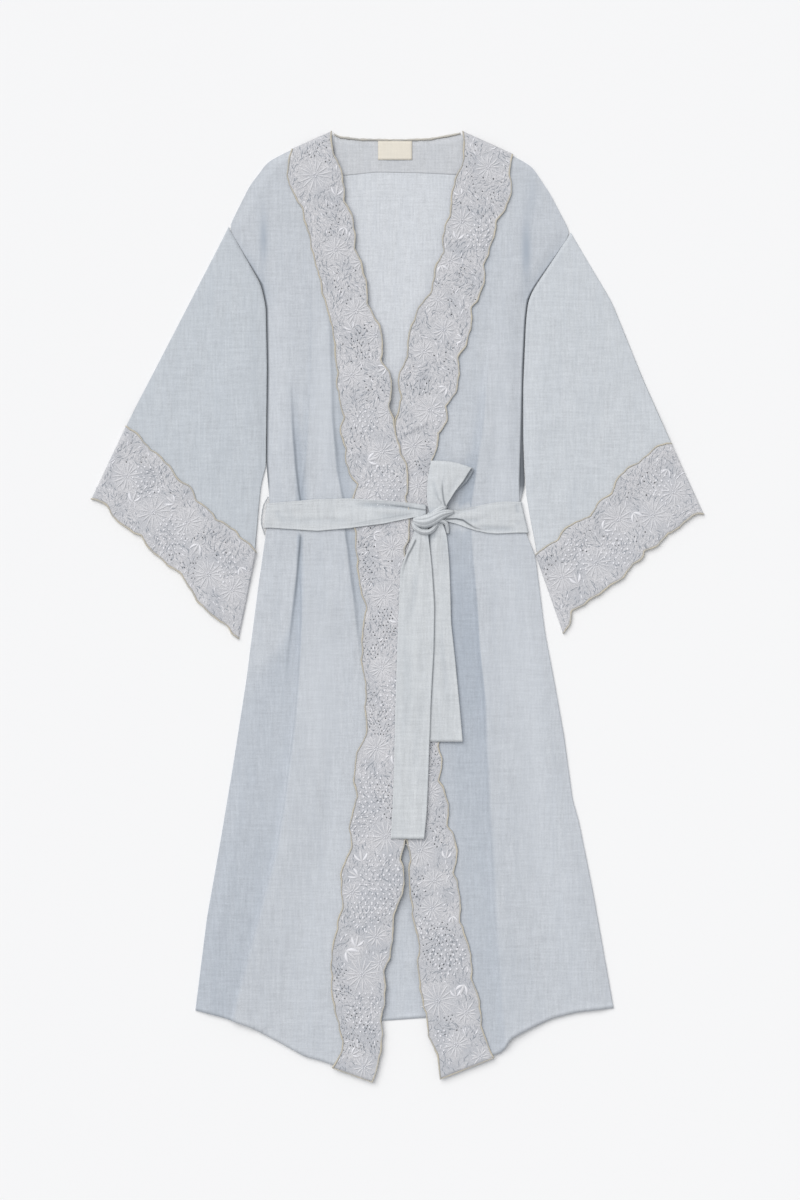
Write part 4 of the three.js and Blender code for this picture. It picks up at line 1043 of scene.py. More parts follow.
def flower(bright, plain, tree, inside, x, y, size, turn, petals):
    """Long narrow petals round a small eye, in two rows."""
    for n in range(petals):
        angle = turn + 2 * math.pi * (n + .25 * rng.random()) / petals
        length = size * (.36 + .1 * rng.random())
        mid = size * .08 + length / 2
        px, py = x + mid * math.cos(angle), y + mid * math.sin(angle)
        if inside(px, py):
            leaf(plain, tree, px, py, length, 2.3 + .9 * rng.random(), angle, .75,
                 (rng.random() - .5) * 1.8, 4)
    for n in range(5):
        angle = turn + 2 * math.pi * n / 5
        px, py = x + 2.1 * math.cos(angle), y + 2.1 * math.sin(angle)
        if inside(px, py):
            dot(bright, tree, px, py, 1.9, 1.1)


def inside_of(outline, margin):
    """A test whether a plan point lies in an outline, further from it than the margin."""
    p = np.asarray(outline, float)
    q = np.roll(p, -1, 0)

    def test(x, y):
        cross = ((p[:, 1] > y) != (q[:, 1] > y)) & (
            x < (q[:, 0] - p[:, 0]) * (y - p[:, 1]) / (q[:, 1] - p[:, 1] + 1e-12) + p[:, 0])
        if np.count_nonzero(cross) % 2 == 0:
            return False
        return np.min(np.hypot(p[:, 0] - x, p[:, 1] - y)) > margin

    return test


def sprig(bright, plain, tree, inside, x, y, size, turn):
    """Three satin leaves that spread from one place."""
    for side, grown in ((-1, .62), (0, .8), (1, .68)):
        angle = turn + side * rng.uniform(.5, .75)
        px, py = x + size * .34 * math.cos(angle), y + size * .34 * math.sin(angle)
        if inside(px, py):
            leaf(bright if side else plain, tree, px, py, size * grown, size * rng.uniform(.18, .26),
                 angle, 1.1, side * 1.4, 5)


def dot_field(bright, tree, inside, x, y, size):
    """Raised dots in even rows over a round field."""
    for a in range(-6, 7):
        for b in range(-6, 7):
            px = x + DOT_PITCH * (a + .5 * (b % 2)) + rng.uniform(-.7, .7)
            py = y + DOT_PITCH * .82 * b + rng.uniform(-.7, .7)
            if math.hypot(px - x, (py - y) * .8) < size / 2 and inside(px, py):
                dot(bright, tree, px, py, rng.uniform(2.4, 3.5), 1.0)


def ground_stitches(bright, plain, tree, inside, grid, taken, seed):
    """Short stitches outside the places taken, which turn with a slow noise."""
    (x0, y0), (x1, y1) = grid.min((0, 1)), grid.max((0, 1))
    for a in range(int((x1 - x0) / STITCH_PITCH) + 1):
        for b in range(int((y1 - y0) / STITCH_PITCH) + 1):
            px = x0 + STITCH_PITCH * (a + .5 * (b % 2)) + rng.uniform(-1.5, 1.5)
            py = y0 + STITCH_PITCH * b + rng.uniform(-1.5, 1.5)
            if any(math.hypot(px - mx, py - my) < r for mx, my, r in taken) or not inside(px, py):
                continue
            swirl = math.pi / 2 + noise.noise(Vector((px / 26, py / 26, seed))) * 2.4
            length = rng.uniform(4.5, 8.5)
            if rng.random() < .05:
                leaf(bright, tree, px, py, length, rng.uniform(1.6, 2.4), swirl, .9, rng.uniform(-1, 1), 4)
            else:
                leaf(plain, tree, px, py, length, rng.uniform(1, 1.9), swirl + rng.uniform(-.6, .6), .7,
                     rng.uniform(-1.6, 1.6), 3, False, dark=rng.random() < .4)


def embroider(name, tree, grid, outline, motifs):
    """Places a piece's motifs, then fills the ground between them with short stitches."""
    bright, plain = Bundle(), Bundle()
    inside = inside_of(outline, MOTIF_MARGIN)
    taken = []
    for kind, x, y, size, turn in motifs:
        if kind == "flower":
            flower(bright, plain, tree, inside, x, y, size, turn, 15 if size > 30 else 12)
            taken.append((x, y, size * .5))
        elif kind == "leaves":
            sprig(bright, plain, tree, inside, x, y, size, turn)
            taken.append((x + size * .3 * math.cos(turn), y + size * .3 * math.sin(turn), size * .42))
        elif kind == "dots":
            dot_field(bright, tree, inside, x, y, size)
    ground_stitches(bright, plain, tree, inside, grid, taken, len(name))
    bright.make(name + "_satin", satin, "lace")
    plain.make(name + "_stitches", soft_satin, "lace")


def zones(x, y, motifs):
    """Where the net is open: in the eyelet fields, apart from the flowers and leaves."""
    open_net = np.zeros(x.shape, bool)
    for kind, mx, my, size, _ in motifs:
        if kind == "eyelets":
            near = np.hypot(x - mx, (y - my) * .75) + 5 * np.sin(x / 9 + y / 13)
            open_net |= near < size / 2
    for kind, mx, my, size, _ in motifs:
        if kind in ("flower", "leaves"):
            open_net &= np.hypot(x - mx, y - my) > size * .42
    return open_net


def spot(px, py):
    """A place in the photograph's pixels, in millimetres."""
    return PHOTO_SCALE * px - PHOTO_LEFT, PHOTO_TOP - PHOTO_SCALE * py


def placed(rows):
    return [(kind, *spot(px, py), size, math.radians(turn)) for kind, px, py, size, turn in rows]


# Motifs: kind, place, size, turn
RIGHT_MOTIFS = placed([
    ("flower", 315, 176, 44, 10), ("eyelets", 322, 160, 40, 0), ("leaves", 336, 196, 18, 80),
    ("eyelets", 338, 222, 46, 0), ("flower", 336, 250, 32, 40), ("leaves", 338, 172, 13, 60),
    ("eyelets", 348, 282, 50, 0), ("flower", 362, 262, 30, 5), ("leaves", 345, 228, 16, 250),
    ("flower", 356, 312, 36, 25), ("leaves", 352, 330, 16, 120), ("eyelets", 362, 352, 54, 0),
    ("flower", 376, 336, 28, 15), ("eyelets", 374, 390, 60, 0), ("leaves", 386, 368, 17, 210),
    ("flower", 352, 376, 28, 30), ("dots", 366, 422, 32, 0), ("flower", 388, 412, 30, 0),
    ("leaves", 368, 461, 20, 20), ("eyelets", 352, 446, 36, 0), ("flower", 382, 452, 34, 12),
    ("dots", 384, 486, 44, 0), ("eyelets", 398, 470, 34, 0), ("flower", 366, 500, 30, 30),
    ("eyelets", 372, 556, 50, 0), ("flower", 392, 548, 34, 20), ("leaves", 374, 534, 16, 340),
    ("flower", 384, 596, 36, 8), ("eyelets", 378, 632, 46, 0), ("leaves", 398, 622, 18, 130),
    ("flower", 382, 668, 34, 0), ("dots", 396, 700, 42, 0), ("eyelets", 374, 712, 46, 0),
    ("flower", 376, 748, 34, 18), ("leaves", 394, 764, 18, 60), ("dots", 372, 792, 44, 0),
    ("eyelets", 392, 800, 40, 0), ("flower", 386, 836, 44, 6), ("dots", 362, 826, 36, 0),
    ("leaves", 362, 861, 21, 100), ("leaves", 358, 876, 19, 150), ("flower", 352, 892, 26, 10),
    ("dots", 384, 884, 62, 0), ("dots", 366, 912, 40, 0), ("eyelets", 392, 906, 34, 0),
    ("leaves", 346, 950, 24, 320), ("leaves", 356, 946, 20, 80), ("flower", 376, 936, 30, 30),
    ("flower", 362, 974, 46, 4), ("eyelets", 340, 978, 42, 0), ("flower", 380, 962, 28, 14),
    ("dots", 366, 1012, 44, 0), ("eyelets", 358, 1034, 50, 0), ("leaves", 352, 1054, 16, 30),
    ("flower", 364, 1066, 28, 10),
])
LEFT_MOTIFS = placed([
    ("flower", 488, 168, 34, 20), ("eyelets", 474, 168, 36, 0), ("leaves", 490, 150, 14, 60),
    ("eyelets", 482, 200, 56, 0), ("leaves", 460, 196, 14, 110), ("flower", 462, 222, 34, 0),
    ("dots", 480, 236, 34, 0), ("leaves", 457, 240, 17, 70), ("flower", 450, 262, 30, 15),
    ("eyelets", 458, 286, 60, 0), ("flower", 438, 300, 28, 40), ("leaves", 441, 266, 16, 290),
    ("flower", 444, 330, 32, 0), ("eyelets", 448, 354, 44, 0), ("leaves", 462, 340, 15, 170),
    ("flower", 424, 352, 30, 25), ("eyelets", 418, 384, 46, 0), ("flower", 430, 410, 42, 10),
    ("leaves", 446, 388, 16, 220), ("dots", 442, 416, 26, 0), ("flower", 414, 446, 34, 30),
    ("eyelets", 428, 452, 34, 0), ("flower", 418, 486, 30, 0), ("eyelets", 432, 560, 36, 0),
    ("flower", 432, 600, 32, 10), ("eyelets", 436, 640, 40, 0), ("flower", 436, 684, 34, 20),
    ("dots", 434, 720, 36, 0), ("eyelets", 428, 752, 40, 0), ("flower", 430, 792, 32, 0),
    ("flower", 420, 850, 44, 12), ("eyelets", 434, 836, 32, 0), ("leaves", 446, 858, 16, 80),
    ("flower", 434, 880, 30, 30), ("eyelets", 422, 888, 40, 0), ("flower", 432, 908, 32, 5),
    ("dots", 430, 928, 30, 0), ("dots", 448, 954, 46, 0), ("eyelets", 438, 944, 56, 0),
    ("leaves", 452, 916, 15, 280), ("flower", 438, 1000, 48, 8), ("leaves", 464, 984, 20, 250),
    ("leaves", 456, 996, 16, 100), ("flower", 466, 1012, 30, 20), ("eyelets", 446, 1030, 34, 0),
    ("flower", 456, 1044, 34, 0), ("dots", 444, 1040, 24, 0), ("flower", 480, 1056, 26, 15),
])


def lace_tone(points, seed):
    """Darker patches of the ground, more of them towards the hem."""
    patches = np.array([noise.noise(Vector((p[0] / 22, p[1] / 22, seed))) for p in points])
    return np.clip(.1 + .75 * patches + .3 * smooth((-40 - points[:, 1]) / 330), 0, .7)


def lace_band(name, outer, inner, to_centre, layer, motifs, folds, node, seed):
    """A scalloped band: its net with eyelets, its wrapped edges and its embroidery."""
    lines = [Curve(outer, to_centre, .9, seed), Curve(inner, -to_centre, .9, seed + 4)]
    left, right = lines if to_centre > 0 else lines[::-1]
    rows = np.linspace(0, 1, 2 * int(LACE_RUN / EYELET_CELL / 2) + 1)
    cols = np.linspace(0, 1, LACE_COLUMNS)
    grid = CUTS[name] = patch(left, right, *end_lines(left, right), rows, cols)
    x, y = grid[..., 0], grid[..., 1]
    edges = grid[:, 0], grid[:, -1]
    first, last = (np.interp(-y, -edge[:, 1], edge[:, 0]) for edge in edges)
    across = np.clip((x - first) / (last - first), 0, 1)
    ripple = .25 * np.sin(x / 5.3 + y / 31) * np.sin(y / 7.1)
    low = layer_bottom(layer(y, across), x, y) + ripple * np.sin(np.pi * cols)[None] + pleats(folds, x, y)[0]
    flat = np.stack([x, y, low + LACE], -1).reshape(-1, 3)
    tree = tree_of(flat, grid_faces(len(rows), len(cols)))
    middle = (grid[:-1, :-1] + grid[1:, 1:]) / 2
    zone = zones(middle[..., 0], middle[..., 1], motifs)
    zone[:2] = zone[-2:] = zone[:, :1] = zone[:, -1:] = False
    points, faces = netted(flat, len(rows), len(cols), zone)
    points, faces, rims = wall(points, faces, points - [0, 0, LACE])
    # the pressed folds carry painted dark lines of shade
    made = add_object(name, points, faces, lace_cloth, rims, deep=lace_tone(points, seed),
                      groove=pleats(folds, points[:, 0], points[:, 1])[1])
    finish_piece(made, "lace", node)
    edge = Bundle()
    for line, inset in zip(edges, (.7, -.7)):
        edge_cord(edge, line + [inset, 0], tree)
    edge_cord(edge, grid[-1], tree, .55, .1)
    cord = edge.make(name + "_overlock", edging, "edging")
    outline = np.concatenate([edges[0], grid[-1], edges[1][::-1], grid[0][::-1]])
    embroider(name, tree, grid, outline, motifs)
    return made, cord


# Folds that are pressed into the lace, as for the belt
RIGHT_LACE_FOLDS = [([(-70, 300), (-54, 262), (-46, 222)], 1, 5, .5, .25, .4, .4)]
LEFT_LACE_FOLDS = [
    ([(1, 211), (18, 220.5), (38, 231), (50, 234)], -1, 5, 1.0, .6, .1, .4),
    ([(42, 330), (30, 280), (26, 250)], 1, 6, .5, .25, .4, .4),
]


def climb(y, across):
    """Layers under the upper lace: one more where it crosses the lower lace."""
    crossed = np.minimum(smooth((330 - y) / 60), smooth((y + 420) / 60))
    return 1 + crossed * np.clip((across - .25) / .4, 0, 1)


right_lace, right_cord = lace_band("right_front_lace_band", RIGHT_LACE_OUTER, RIGHT_LACE_INNER, 1, climb,
                                   RIGHT_MOTIFS, RIGHT_LACE_FOLDS, "right_front_lace", 1)
left_lace, left_cord = lace_band("left_front_lace_band", LEFT_LACE_OUTER, LEFT_LACE_INNER, -1,
                                 lambda y, a: 1 + 0 * y, LEFT_MOTIFS, LEFT_LACE_FOLDS, "left_front_lace", 2)


def cuff_piece(name, upper_rows, lower_rows, side, motifs, node, seed):
    """A cuff: a flattened tube of net with two wrapped edges and its embroidery."""
    upper = Curve(upper_rows, side, .9, seed)
    lower = Curve(lower_rows, -side, .9, seed + 3)
    across = (upper.length + lower.length) / 2
    rows = np.linspace(0, 1, CUFF_ROWS)
    cols = fold_columns(2 * int(across / EYELET_CELL / 2) + 1, across, CUFF_EDGE)
    grid = CUTS[name] = patch(*end_lines(upper, lower), upper, lower, rows, cols)
    space = np.interp(rows, [0, CUFF_REACH, .35, 1], [3.8, 3.8, 2.2, 1.4])[:, None]
    x, y = grid[..., 0], grid[..., 1]
    total = 2 * LACE + .6 + space + .5 * np.sin(x / 13 + seed) * np.sin(y / 17) * np.sin(np.pi * cols)
    points = ring_points(grid, 0, total, CUFF_EDGE)
    ring = points.shape[1]
    flat = points.reshape(-1, 3)
    tree = tree_of(flat, grid_faces(len(rows), ring, True))
    beside = np.roll(points, -1, 1)
    middle = (points[:-1] + points[1:] + beside[:-1] + beside[1:]) / 4
    zone = zones(middle[..., 0], middle[..., 1], motifs)
    zone[:2] = zone[-2:] = False
    zone &= np.linalg.norm(beside - points, axis=2)[:-1] > 3
    points, faces = netted(flat, len(rows), ring, zone, True)
    faces = outward(points, faces)
    made = add_object(name, points, faces, lace_cloth, deep=lace_tone(points, seed))
    finish_piece(solidify(made, LACE), "lace", node)
    edge = Bundle()
    top = points[:len(flat)].reshape(len(rows), ring, 3)
    for row in (0, len(rows) - 1):
        path = top[row]
        step = np.linalg.norm(np.diff(np.concatenate([path, path[:1]]), axis=0), axis=1)
        far = np.concatenate([[0], np.cumsum(step)])
        at = np.linspace(0, far[-1], int(far[-1] / WRAP_PITCH), endpoint=False)
        line = np.stack([np.interp(at, far, np.append(path[:, k], path[0, k])) for k in range(3)], -1)
        line[:, 2] = np.maximum(line[:, 2], 1.2) + .1
        edge.add(*tube_along(line, wrapped(at, OVERLOCK, .25), True))
    cord = edge.make(name + "_overlock", edging, "edging")
    outline = np.concatenate([grid[0], grid[:, -1], grid[-1][::-1], grid[:, 0][::-1]])
    embroider(name, tree, grid, outline, motifs)
    return made, cord


def cuff_motifs(upper_rows, lower_rows, rows):
    upper, lower = Curve(upper_rows), Curve(lower_rows)
    return [(kind, *(upper(u)[0] * (1 - v) + lower(u)[0] * v), size, math.radians(turn))
            for kind, u, v, size, turn in rows]


# Motifs of the cuffs: kind, share along, share down, size, turn
CUFF_MOTIFS = [
    ("flower", .12, .5, 40, 10), ("eyelets", .1, .25, 34, 0), ("leaves", .2, .72, 20, 70),
    ("dots", .24, .36, 38, 0), ("flower", .33, .62, 44, 25), ("eyelets", .33, .28, 40, 0),
    ("leaves", .43, .3, 18, 140), ("dots", .47, .66, 40, 0), ("flower", .54, .36, 42, 5),
    ("eyelets", .6, .7, 46, 0), ("leaves", .64, .46, 20, 240), ("flower", .74, .68, 40, 18),
    ("eyelets", .74, .3, 38, 0), ("dots", .84, .42, 34, 0), ("flower", .9, .6, 36, 30),
    ("leaves", .92, .3, 16, 300),
]
right_cuff, right_cuff_cord = cuff_piece(
    "right_cuff_lace_tube", RIGHT_CUFF_UPPER, RIGHT_CUFF_LOWER, -1,
    cuff_motifs(RIGHT_CUFF_UPPER, RIGHT_CUFF_LOWER, CUFF_MOTIFS), "right_cuff_lace", 5)
left_cuff, left_cuff_cord = cuff_piece(
    "left_cuff_lace_tube", LEFT_CUFF_UPPER, LEFT_CUFF_LOWER, 1,
    cuff_motifs(LEFT_CUFF_UPPER, LEFT_CUFF_LOWER,
                [(k, 1 - u, v, s, 180 - t) for k, u, v, s, t in CUFF_MOTIFS]), "left_cuff_lace", 6)


# Neck
def neck_pieces():
    start, end = Curve(FACING_TOP), rounded(FACING_HEM, 3)
    rows = np.array([0, .15, .3, .45, .6, .75, .86, .93, .96, 1])
    grid = patch(*end_lines(start, end), start, end, rows, np.linspace(0, 1, 41))

    def base(x, y):
        return back_bottom(x, y) + LINEN + .02

    facing = sheet_object("back_neck_facing_linen", grid, base, FACING, facing_linen)
    finish_piece(facing, "linen", "back_neck_facing")

    path = Curve(BINDING)(np.linspace(0, 1, 90))
    angles = np.radians(np.arange(-30, 211, 24))
    rings = []
    for angle in angles:
        wavy = 1 + .25 * np.sin(path[:, 0] / 2.1) * np.sin(path[:, 0] / 5.7)
        y = path[:, 1] + BINDING_SHOWN / 2 * wavy * np.cos(angle)
        z = SEAM + .5 + .6 * (BINDING_TOP - SEAM) * max(0, math.sin(angle)) + 0 * y
        rings.append(np.stack([path[:, 0], y, z], -1))
    points = np.stack(rings, 1).reshape(-1, 3)
    under = points.copy()
    under[:, 2] = np.maximum(SEAM, under[:, 2] - 1)
    points, faces, rims = wall(points, grid_faces(len(path), len(angles)), under)
    binding = add_object("neck_binding_band", points, faces, binding_cloth, rims)
    finish_piece(binding, "edging", "neck_binding")

    grid = np.stack(np.meshgrid(np.linspace(LABEL["left"], LABEL["right"], 18),
                                np.linspace(LABEL["top"] + 1.6, LABEL["bottom"], 10)), -1)

    def label_base(px, py):
        lift = .5 * np.sin(np.pi * (px - LABEL["left"]) / (LABEL["right"] - LABEL["left"])) ** 2
        return base(px, py) + FACING + .25 + lift * smooth((LABEL["top"] - py) / 22)

    label = sheet_object("neck_label_cloth", grid, label_base, LABEL_CLOTH, label_cloth)
    finish_piece(label, "label", "neck_label")
    return facing, binding, label


facing, binding, label = neck_pieces()


# Belt
def belt_edge(rows, y):
    """The side line of the body that a belt half turns round."""
    return column(RIGHT_SIDE if rows is BELT_RIGHT else LEFT_SIDE, 1, 0, y)


def strip_edges(cols, roll, row, depth, width):
    """Heights across a belt strip: rolled edges of that reach, and rows of stitches let in."""
    near = np.minimum(cols, 1 - cols)
    return .3 * np.exp(-(near / roll) ** 2), -depth * np.exp(-((near - row) / width) ** 2)


def belt_half(name, rows, outward_side, troughs, folds, node):
    """A belt half from the knot to the side, then round the edge and under."""
    last = rows[-1]
    xs, cols = np.linspace(rows[0][0], last[0], BELT_ROWS), np.linspace(0, 1, BELT_COLUMNS)
    top, bottom = column(rows, 0, 1, xs), column(rows, 0, 2, xs)
    y = top[:, None] * (1 - cols) + bottom[:, None] * cols
    x = np.repeat(xs[:, None], len(cols), 1)
    layer = column(rows, 0, 3, xs)[:, None]
    raised, dark = pleats(folds, x, y)
    soft = creased(troughs, x, y)
    edge, sewn = strip_edges(cols, .04, .07, .18, .014)
    z = layer_bottom(layer, x, y) + CLOTH + raised + 1.4 * soft + edge + sewn
    # painted shade in the troughs and next to the knot; dark holds painted lines of shade under the folds'
    # edges
    deep = np.clip(-soft * .45 + .25 * smooth((14 - np.abs(x - rows[0][0])) / 14), 0, .7)
    flat = np.stack([x, y, z], -1)
    ys = last[1] * (1 - cols) + last[2] * cols
    radius = (layer_bottom(last[3], np.full_like(ys, last[0]), ys) + CLOTH) / 2
    centre = belt_edge(rows, ys) + outward_side * (BELT_STANDOFF - radius)
    turn = [np.stack([centre + outward_side * radius * math.sin(angle), ys,
                      radius + radius * math.cos(angle)], -1)
            for angle in math.pi * (np.linspace(0, 1, TURN_ROWS) * .97 + .03)]
    points = CUTS[name] = np.concatenate([flat, np.array(turn)])
    total = points.reshape(-1, 3)
    faces = facing_up(total, grid_faces(len(points), len(cols)), 0)
    rest = np.zeros((len(turn), len(cols)))
    made = add_object(name, total, faces, belt_linen, deep=np.concatenate([deep, rest]).ravel(),
                      groove=np.concatenate([dark, rest]).ravel())
    return finish_piece(solidify(made, BELT_CLOTH), "belt", node)


# Soft troughs of the belt: both ends, bow, width, height. Its folds: points, side that lies
# on top, width, rise, painted dark line of shade, share that fades in and out
BELT_RIGHT_TROUGHS = [
    (-60, 128, 35, 121, -2, 3.5, -1.1), (-30, 114, 24, 118, 2, 4, -.6), (-150, 104, -40, 106, -3, 5, -.45),
    (-150, 126, -70, 129, 2, 4, .35), (-120, 116, -20, 118, 3, 6, .3), (-156, 122, -140, 101, -2, 4, -.5),
    (-136, 131, -128, 104, 3, 4, -.35), (-100, 133, -90, 112, -3, 5, .3),
]
BELT_RIGHT_FOLDS = [
    ([(-84, 100.5), (-57, 102.6), (-16.6, 109.8), (22, 116.2)], 1, 3, .9, .3, .5, .05),
    ([(-24, 129.5), (8, 126), (38, 121.5)], -1, 5, .7, .45, .5, .02),
]
BELT_LEFT_TROUGHS = [
    (66, 115, 118, 117, 2, 3.5, .5), (95, 101, 156, 98, 2, 3.6, -.8), (68, 112.5, 110, 108, 2, 3, -.6),
    (100, 122, 152, 124, -2, 4, .4), (120, 112, 156, 108, 2, 5, .4), (150, 130, 154, 116, 1, 2.6, -.8),
    (140, 108, 157, 102, -1, 3, -.5), (72, 118.5, 104, 123, -1, 2.4, -.5),
]
BELT_LEFT_FOLDS = [
    ([(60, 110.6), (73.6, 111), (82.6, 109.3), (90.5, 104), (97.2, 99.9), (106, 97.4), (124, 95.8)],
     -1, 4, 1.3, .85, .02, .6),
    ([(60, 117.5), (72, 117), (84, 118)], 1, 3, .5, .3, .02, .6),
]
belt_right = belt_half("belt_right_strip", BELT_RIGHT, -1, BELT_RIGHT_TROUGHS, BELT_RIGHT_FOLDS, "belt_right")
belt_left = belt_half("belt_left_strip", BELT_LEFT, 1, BELT_LEFT_TROUGHS, BELT_LEFT_FOLDS, "belt_left")


def belt_back_piece():
    cols = np.linspace(0, 1, 12)
    ends = []
    for half, inward in ((BELT_RIGHT, .3), (BELT_LEFT, -.3)):
        y = half[-1][1] * (1 - cols) + half[-1][2] * cols
        ends.append(np.stack([belt_edge(half, y) + inward, y], -1))
    u = np.linspace(0, 1, 60)[:, None, None]
    grid = ends[0][None] * (1 - u) + ends[1][None] * u

    def base(x, y):
        return .12 * (1 + np.sin(x / 23.0)) * np.sin(np.pi * np.clip((y - 93) / 37, 0, 1))

    made = sheet_object("belt_back_strip", grid, base, BELT_BACK_CLOTH, belt_linen)
    return finish_piece(made, "belt", "belt_back")


belt_back = belt_back_piece()


def tail_piece(name, rows, layer, troughs, folds, curl, shadow, node):
    """A belt end that hangs from the knot; shadow gives the dark line along its neighbour."""
    left, right = (rounded([(r[side], r[0]) for r in rows], 4) for side in (1, 2))
    stations, cols = shares(left.length, TAIL_PITCH, TAIL_HEM), np.linspace(0, 1, TAIL_COLUMNS)
    grid = patch(left, right, *end_lines(left, right), stations, cols)
    u = stations[:, None]
    edge, sewn = strip_edges(cols, .05, .08, .16, .02)
    lifted = curl * smooth((u - .75) / .25) * (cols[None] - .3) ** 2 * 4

    def base(x, y):
        rise = pleats(folds, x, y)[0] + 1.3 * creased(troughs, x, y) + edge + sewn + lifted
        return layer_bottom(layer, x, y) + np.maximum(rise, -.3)

    # painted dark lines of shade, under the folds' edges and along the neighbour
    def dark(x, y):
        return np.maximum(pleats(folds, x, y)[1], shadow(x, y))

    # painted shade next to the knot and in the troughs
    def deep(x, y):
        knot = smooth((14 - np.hypot(x - 43, y - 92)) / 12)
        return np.clip(.45 * knot - .3 * creased(troughs, x, y), 0, .7)

    made = sheet_object(name, grid, base, TAIL_CLOTH, belt_linen, hem_rise(stations, left.length, TAIL_HEM),
                        deep=deep, groove=dark)
    return finish_piece(made, "belt", node)


def beside_long_tail(x, y):
    """The painted shadow of the long tail: a dark line on the short tail along the long one's edge."""
    off = x - column(TAIL_LONG, 0, 2, y)
    wide = 1.2 + 1.6 * smooth((y - 74) / 16)
    return (.45 + .5 * smooth((y - 60) / 25)) * np.exp(-(np.maximum(off - .3, 0) / wide) ** 2)


# Troughs and folds of the tails, as for the belt
SHORT_TROUGHS = [
    (52, 100, 50, 40, 2, 3, .8), (58, 96, 60, 20, -1, 3, -.5), (60, 60, 66, -90, 2, 4, .4),
    (52, -20, 64, -150, -2, 5, -.45), (54, -60, 58, -150, 2, 3, .3),
]
LONG_TROUGHS = [
    (30, 90, 18, 30, -2, 3.5, .9), (36, 88, 34, 0, 2, 3.5, .5), (24, 70, 12, -30, -3, 4, -.7),
    (30, 20, 26, -120, 3, 5, .5), (12, -30, 8, -180, -2, 5, -.5), (34, -90, 22, -230, 2, 5, -.45),
    (8, -150, 4, -270, 2, 4, .4), (24, -180, 20, -285, -2, 4, .35),
]
LONG_FOLDS = [
    ([(22.5, 84), (17.5, 73.5), (13, 65.5), (8.6, 53), (3.4, 33)], 1, 4, 1.1, .75, .02, .5),
    ([(31, 90), (29, 70), (27.5, 52)], -1, 3, .5, .3, .1, .6),
]
tail_short = tail_piece("belt_tail_short_strip", TAIL_SHORT, 2, SHORT_TROUGHS, [], .5, beside_long_tail,
                        "belt_tail_short")
tail_long = tail_piece("belt_tail_long_strip", TAIL_LONG, 3, LONG_TROUGHS, LONG_FOLDS, .6,
                       lambda x, y: 0 * x, "belt_tail_long")


# The loop's own creases, as for the belt
LOOP_TROUGHS = [
    (44, 160, 49, 131, -2, 3, -.9), (66, 164, 62, 134, 2, 4, .7), (50, 170, 52, 140, 1, 4, .5),
    (78, 168, 64, 138, -1, 3, -.5), (40.5, 178, 39.5, 134, 0, 1.2, -.25),
]
LOOP_FOLDS = [
    ([(58.6, 166), (57.3, 156), (57.1, 146.8), (58.6, 134), (61, 126)], -1, 5, 1.3, .75, .55, .02),
    ([(47, 146), (50.5, 135), (55, 129)], 1, 4, .6, .3, .6, .02),
]


def loop_piece():
    """The loop runs up from the knot, turns over at its tip and comes back above itself."""
    table = np.array(LOOP, float)
    across = np.linspace(0, 1, LOOP_COLUMNS)

    def section(share, rise, beyond=0.0):
        place = share * (len(LOOP) - 1)
        row = min(int(place), len(LOOP) - 2)
        a, b = table[row], table[row + 1]
        t = place - row + beyond
        layer = a[4] + (b[4] - a[4]) * min(t, 1)
        p = (a[:4] + (b[:4] - a[:4]) * t).reshape(2, 2)
        under = 1 - rise / (2 * LOOP_RADIUS)
        p[1, 0] += LOOP_OPEN * under * smooth((share - .35) / .5)
        p[1, 1] -= .6 * LOOP_OPEN * under * smooth((share - .35) / .5)
        xy = p[0] * (1 - across[:, None]) + p[1] * across[:, None]
        bow = 3.0 * (share + beyond * .3) * np.sin(np.pi * across)
        x, y = xy[:, 0] + bow * .1, xy[:, 1] + bow
        return x, y, layer_bottom(layer, x, y), rise, share

    lower = [section(s, 0) for s in np.linspace(0, .92, 24)]
    bend = [section(.92, LOOP_RADIUS * (1 - math.cos(math.pi * t)), .24 + .1 * math.sin(math.pi * t))
            for t in np.linspace(0, 1, 9)[1:-1]]
    upper = [section(s, 2 * LOOP_RADIUS) for s in np.linspace(.92, 0, 44)]
    rows, dark, deep = [], [], []
    for x, y, ground, rise, s in lower + bend + upper:
        crown = rise / (2 * LOOP_RADIUS)
        raised, line = pleats(LOOP_FOLDS, x, y)
        soft = creased(LOOP_TROUGHS, x, y)
        swell = 1.2 * np.sin(np.pi * np.clip(across * 1.9, 0, 1)) * (1 - s) + .9 * np.sin(np.pi * across) * s
        shut = 1 - .35 * smooth((.35 - s) / .35)
        rows.append(np.stack([x, y, ground + rise * shut + crown * (raised + soft + swell)], -1))
        # painted shade: dark lines under the folds' edges, next to the knot, in the troughs, and on the lower
        # layer under the turn
        dark.append(line * crown)
        deep.append(np.clip(.5 * smooth((.16 - s) / .16) - .3 * soft, 0, .7) * crown + .7 * (1 - crown))
    points = CUTS["bow_loop_cloth"] = np.array(rows)
    flat = points.reshape(-1, 3)
    faces = facing_up(flat, grid_faces(len(rows), len(across)), -1)
    made = add_object("bow_loop_cloth", flat, faces, belt_linen, deep=np.array(deep).ravel(),
                      groove=np.array(dark).ravel())
    return finish_piece(solidify(made, LOOP_CLOTH), "belt", "bow_loop")


bow = loop_piece()


